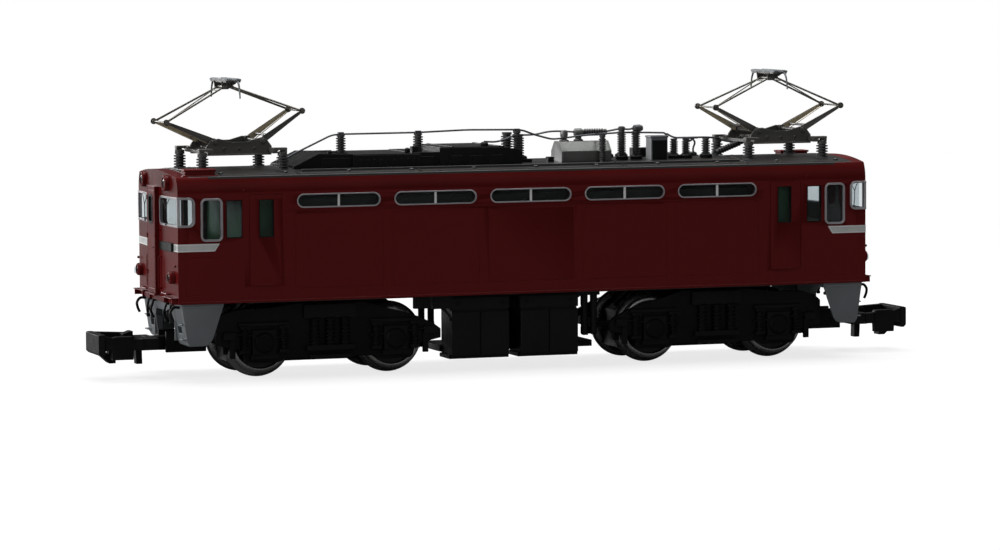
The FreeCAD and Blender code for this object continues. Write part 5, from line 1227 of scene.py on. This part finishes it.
def lower_arm(end_name, end, along):
    """Tapered channel on each side with a thin control rod; one metal drawn twice, dark grey on the outer faces as
    painted shade and bronze on the inner faces as painted light.
    """
    side_name = "right" if along > 0 else "left"
    base, knuckle, _ = arm_points(end_name, end, along)
    place = arm_frame(base, knuckle)
    # Painted shade: the outer channel faces, flanges, bosses and cross rod take the dark grey metal for the shaded side
    # of the arm.
    shaded_outside = Shape(place)
    # Painted light: the inner faces and the control rod take bronze for the lit side of the same metal.
    inside = Shape(place)
    for side in SIDES:
        y = side * 3.05
        web = [(0.0, -0.34), (0.8, -0.36), (5.6, -0.17), (LOWER_ARM, -0.17), (LOWER_ARM, 0.17), (5.6, 0.17),
               (0.8, 0.36), (0.0, 0.34)]
        shaded_outside.prism(web, "Y", *sorted((y, y + side * 0.1)))
        core = [(0.2, -0.30), (0.8, -0.31), (5.6, -0.14), (LOWER_ARM, -0.14), (LOWER_ARM, 0.14), (5.6, 0.14),
                (0.8, 0.31), (0.2, 0.30)]
        inside.prism(core, "Y", *sorted((y - side * 0.03, y - side * 0.16)))
        for edge in SIDES:
            flange = [(0.3, edge * 0.38), (0.8, edge * 0.38), (5.8, edge * 0.19), (5.8, edge * 0.1),
                      (0.8, edge * 0.28), (0.3, edge * 0.28)]
            shaded_outside.prism(flange, "Y", *sorted((y - side * 0.02, y + side * 0.16)))
        for at, radius in ((0.0, 0.42), (LOWER_ARM, 0.36)):
            rings = []
            for r, h in ((0.2, -0.17), (radius, -0.17), (radius + 0.02, -0.1), (radius + 0.02, 0.1), (radius, 0.17),
                         (0.2, 0.17)):
                rings.append([(at + a, y + h, b) for a, b in circle(r, 32)])
            shaded_outside.loft(rings, closed=True)
        inside.rod((0.6, y - side * 0.55, -0.42), (LOWER_ARM - 0.3, y - side * 0.4, -0.16), 0.06, 8)
    shaded_outside.lathe([(0.16, 0), (0.16, 6.1)], (1.2, -3.05, 0), "Y", 16)
    body = "%s_pantograph_lower_arm_%s" % (end_name, side_name)
    # The dark grey pieces are painted shade and the bronze pieces are painted light, both on one metal.
    shaded_outside.piece(body + "_shaded_channels", body, [PANTO], [body], "panto_grey", bevel=0.02)
    inside.piece(body + "_lit_linings", body, [BRONZE], slot="panto_bronze", bevel=0.0)


def upper_arm(end_name, end, along):
    """Two thin tubes that close up towards the head, with one crossing brace."""
    side_name = "right" if along > 0 else "left"
    _, knuckle, head = arm_points(end_name, end, along)
    place = arm_frame(knuckle, head)
    length = UPPER_ARM
    work = Shape(place)
    work.lathe([(0.11, 0), (0.11, 6.7)], (0, -3.35, 0), "Y", 20)
    for side in SIDES:
        work.rod((0.0, side * 2.7, 0), (length, side * 1.3, 0), 0.135, 12, 0.11)
        work.lathe([(0.24, -0.14), (0.26, -0.06), (0.26, 0.06), (0.24, 0.14)], (0, side * 2.7, 0), "Y", 20)
        work.lathe([(0.22, -0.1), (0.22, 0.1)], (0, side * 3.33, 0), "Y", 18)
    work.rod((0.1, -2.6, 0), (length - 0.4, 1.25, 0), 0.07, 8)
    work.rod((length * 0.9, -1.4, 0), (length * 0.9, 1.4, 0), 0.08, 10)
    if along < 0:
        work.lathe([(0.17, 0), (0.17, 3.0)], (length, -1.5, 0), "Y", 18)
    else:
        for side in SIDES:
            work.lathe([(0.18, -0.1), (0.18, 0.1)], (length, side * 1.3, 0), "Y", 16)
    body = "%s_pantograph_upper_arm_%s" % (end_name, side_name)
    work.piece(body + "_tubes", body, [TUBE], [body], "panto_grey", bevel=0.0)


def collector_head(end_name, end):
    """Twin collector strips on a shallow frame, with one thin horn at each end."""
    left = arm_points(end_name, end, -1)[2]
    right = arm_points(end_name, end, 1)[2]
    x = (left[0] + right[0]) / 2
    z = left[1]
    top = 35.5
    tray = Shape()
    strips = Shape()
    for along in SIDES:
        strip_x = x + along * 0.62
        pan = [(strip_x + a, y) for a, y in rounded_rectangle((-0.36, -3.9), (0.36, 3.9), 0.3)]
        strips.prism(pan, "Z", top - 0.3, top - 0.06)
        strips.box((strip_x - 0.2, strip_x + 0.2), (-3.5, 3.5), (top - 0.1, top))
        tray.box((strip_x - 0.3, strip_x + 0.3), (-3.6, 3.6), (top - 0.48, top - 0.28))
    for side in SIDES:
        horn_x = x - side * 0.5
        horn = [(horn_x, side * 3.2, top - 0.3), (horn_x, side * 4.0, top - 0.42),
                (horn_x, side * 4.55, top - 1.2), (horn_x, side * 4.75, top - 2.4)]
        strips.tube(smooth_path(horn, 0.8), 0.15, 10, 0.1)
        boat = [(x - 1.0, top - 0.42), (x + 1.0, top - 0.42), (x + 0.8, top - 0.7), (x + 0.3, top - 0.95),
                (left[0] + 0.38, z - 0.3), (left[0] - 0.38, z - 0.3), (x - 0.95, top - 0.7)]
        tray.prism(boat, "Y", *sorted((side * 1.62, side * 1.8)))
        tray.lathe([(0.26, -0.12), (0.3, 0.0), (0.26, 0.14)], (left[0], side * 1.75, z), "Y", 20)
        tray.box((x - 1.0, x + 1.0), sorted((side * 1.5, side * 2.3)), (top - 0.46, top - 0.32))
        for along in SIDES:
            tray.rod((x + along * 0.62, side * 2.9, top - 0.4), (x + along * 0.2, side * 1.7, z + 0.1), 0.08, 8)
    tray.box((x - 0.5, x + 0.5), (-1.7, 1.7), (top - 0.62, top - 0.4))
    body = end_name + "_pantograph_head"
    tray.piece(body + "_tray", body, [PANTO], [body], "panto_grey", bevel=0.02)
    strips.piece(body + "_strips", body, [STRIP], slot="panto_grey", bevel=0.03)


# ---------------------------------------------------------------- carried-over CAD parts

def finish_cad_parts():
    slots = {row["node"]: row["material_slot"] for row in frame["record"]["subparts"]}
    for name, node in frame["nodes"].items():
        if node.hide_render:
            continue
        material = SLOT_FINISH[slots[name]]
        if name == "armature":
            material = COPPER
        if name.startswith("chassis_"):
            material = CHASSIS
        node.data.materials.clear()
        node.data.materials.append(material)


# ---------------------------------------------------------------- room, light and camera

CAMERA_YAW = 0.3327
CAMERA_PITCH = 0.0743
CAMERA_ROLL = -0.0063
CAMERA_DISTANCE = 530.64
CAMERA_TARGET = (-0.861, 0.0, 10.45)
FOCAL_SHARE = 4.26316


def camera():
    forward = Vector((math.sin(CAMERA_YAW) * math.cos(CAMERA_PITCH), math.cos(CAMERA_YAW) * math.cos(CAMERA_PITCH),
                      -math.sin(CAMERA_PITCH)))
    right = forward.cross(Vector((0, 0, 1))).normalized()
    up = right.cross(forward)
    cosine, sine = math.cos(CAMERA_ROLL), math.sin(CAMERA_ROLL)
    level_right = right * cosine + up * sine
    level_up = up * cosine - right * sine
    place = (Vector(CAMERA_TARGET) - forward * CAMERA_DISTANCE) * MM
    data = bpy.data.cameras.new("view")
    data.sensor_fit = "HORIZONTAL"
    data.sensor_width = 36.0
    data.lens = 36.0 * FOCAL_SHARE
    data.clip_start = 0.01
    data.clip_end = 20
    item = bpy.data.objects.new("view", data)
    bpy.context.scene.collection.objects.link(item)
    turn = Matrix((level_right, level_up, -forward)).transposed().to_4x4()
    item.matrix_world = Matrix.Translation(place) @ turn
    bpy.context.scene.camera = item


def area_light(name, place, target, size, power, colour=(1, 1, 1)):
    data = bpy.data.lights.new(name, "AREA")
    data.shape = "RECTANGLE"
    data.size, data.size_y = size
    data.energy = power
    data.color = colour
    item = bpy.data.objects.new(name, data)
    bpy.context.scene.collection.objects.link(item)
    place, target = Vector(place), Vector(target)
    item.matrix_world = Matrix.Translation(place) @ (target - place).to_track_quat("-Z", "Y").to_matrix().to_4x4()


def pale_floor():
    """Floor that takes soft shadows near the object and reads as plain white further off."""
    material = surface("pale_floor", (0.22, 0.22, 0.22), (0.20, 0.20, 0.20), 0.85, patch=6, grain=400, bump=0.02,
                       specular=0.1)
    tree = material.node_tree
    nodes, links = tree.nodes, tree.links
    shader = nodes["Principled BSDF"]
    ray = nodes.new("ShaderNodeLightPath")
    strength = nodes.new("ShaderNodeMath")
    strength.operation = "MULTIPLY"
    strength.inputs[1].default_value = FLOOR_GLOW
    links.new(ray.outputs["Is Camera Ray"], strength.inputs[0])
    shader.inputs["Emission Color"].default_value = (1, 1, 1, 1)
    links.new(strength.outputs[0], shader.inputs["Emission Strength"])
    reach = nodes.new("ShaderNodeVectorMath")
    reach.operation = "LENGTH"
    links.new(nodes.new("ShaderNodeNewGeometry").outputs["Position"], reach.inputs[0])
    fade = nodes.new("ShaderNodeMapRange")
    fade.interpolation_type = "SMOOTHSTEP"
    fade.inputs["From Min"].default_value = 0.07
    fade.inputs["From Max"].default_value = 0.30
    links.new(reach.outputs["Value"], fade.inputs["Value"])
    far = nodes.new("ShaderNodeMath")
    far.operation = "MULTIPLY"
    links.new(fade.outputs["Result"], far.inputs[0])
    links.new(ray.outputs["Is Camera Ray"], far.inputs[1])
    white = nodes.new("ShaderNodeEmission")
    blend = nodes.new("ShaderNodeMixShader")
    links.new(far.outputs[0], blend.inputs["Fac"])
    links.new(shader.outputs["BSDF"], blend.inputs[1])
    links.new(white.outputs["Emission"], blend.inputs[2])
    links.new(blend.outputs["Shader"], nodes["Material Output"].inputs["Surface"])
    return material


def studio_world():
    """White behind the object for the camera, dimmer for the light that falls on it."""
    world = bpy.data.worlds.new("studio")
    world.use_nodes = True
    tree = world.node_tree
    ray = tree.nodes.new("ShaderNodeLightPath")
    level = tree.nodes.new("ShaderNodeMapRange")
    level.inputs["To Min"].default_value = WORLD_LIGHT
    level.inputs["To Max"].default_value = 1.0
    tree.links.new(ray.outputs["Is Camera Ray"], level.inputs["Value"])
    tree.nodes["Background"].inputs["Color"].default_value = (1, 1, 1, 1)
    tree.links.new(level.outputs["Result"], tree.nodes["Background"].inputs["Strength"])
    return world


FLOOR_GLOW = 0.78
WORLD_LIGHT = 0.12


def room():
    floor_z = -0.62 * MM
    data = bpy.data.meshes.new("floor")
    reach = 4.0
    data.from_pydata([(-reach, -reach, floor_z), (reach, -reach, floor_z), (reach, reach, floor_z),
                      (-reach, reach, floor_z)], [], [(0, 1, 2, 3)])
    floor = bpy.data.objects.new("floor", data)
    bpy.context.scene.collection.objects.link(floor)
    data.materials.append(pale_floor())
    bpy.context.scene.world = studio_world()
    area_light("top_light", (0.05, 0.12, 0.62), (0, 0, 0.01), (0.7, 0.4), 5.2)
    area_light("left_light", (-0.62, -0.03, 0.22), (-0.04, 0, 0.012), (0.34, 0.3), 1.9)
    area_light("front_light", (0.12, -0.75, 0.42), (0, 0, 0.01), (0.6, 0.4), 0.36)
    area_light("back_light", (-0.30, 0.80, 0.16), (-0.045, 0, 0.016), (0.3, 0.25), 1.9)
    bpy.context.scene.view_settings.view_transform = "Standard"


# ---------------------------------------------------------------- everything together

hull()
front_fittings()
window_work()
stripes()
roof_skin()
roof_boxes()
roof_porcelain()
roof_wiring()
skirts()
hoses_and_rails()
underframe()
for end_name, end in ENDS:
    bogie(end_name, end)
    wheel_details(end_name, end)
    hook(end_name, end)
    pantograph_base(end_name, end)
    for along in SIDES:
        lower_arm(end_name, end, along)
        upper_arm(end_name, end, along)
    collector_head(end_name, end)
finish_cad_parts()
room()
camera()
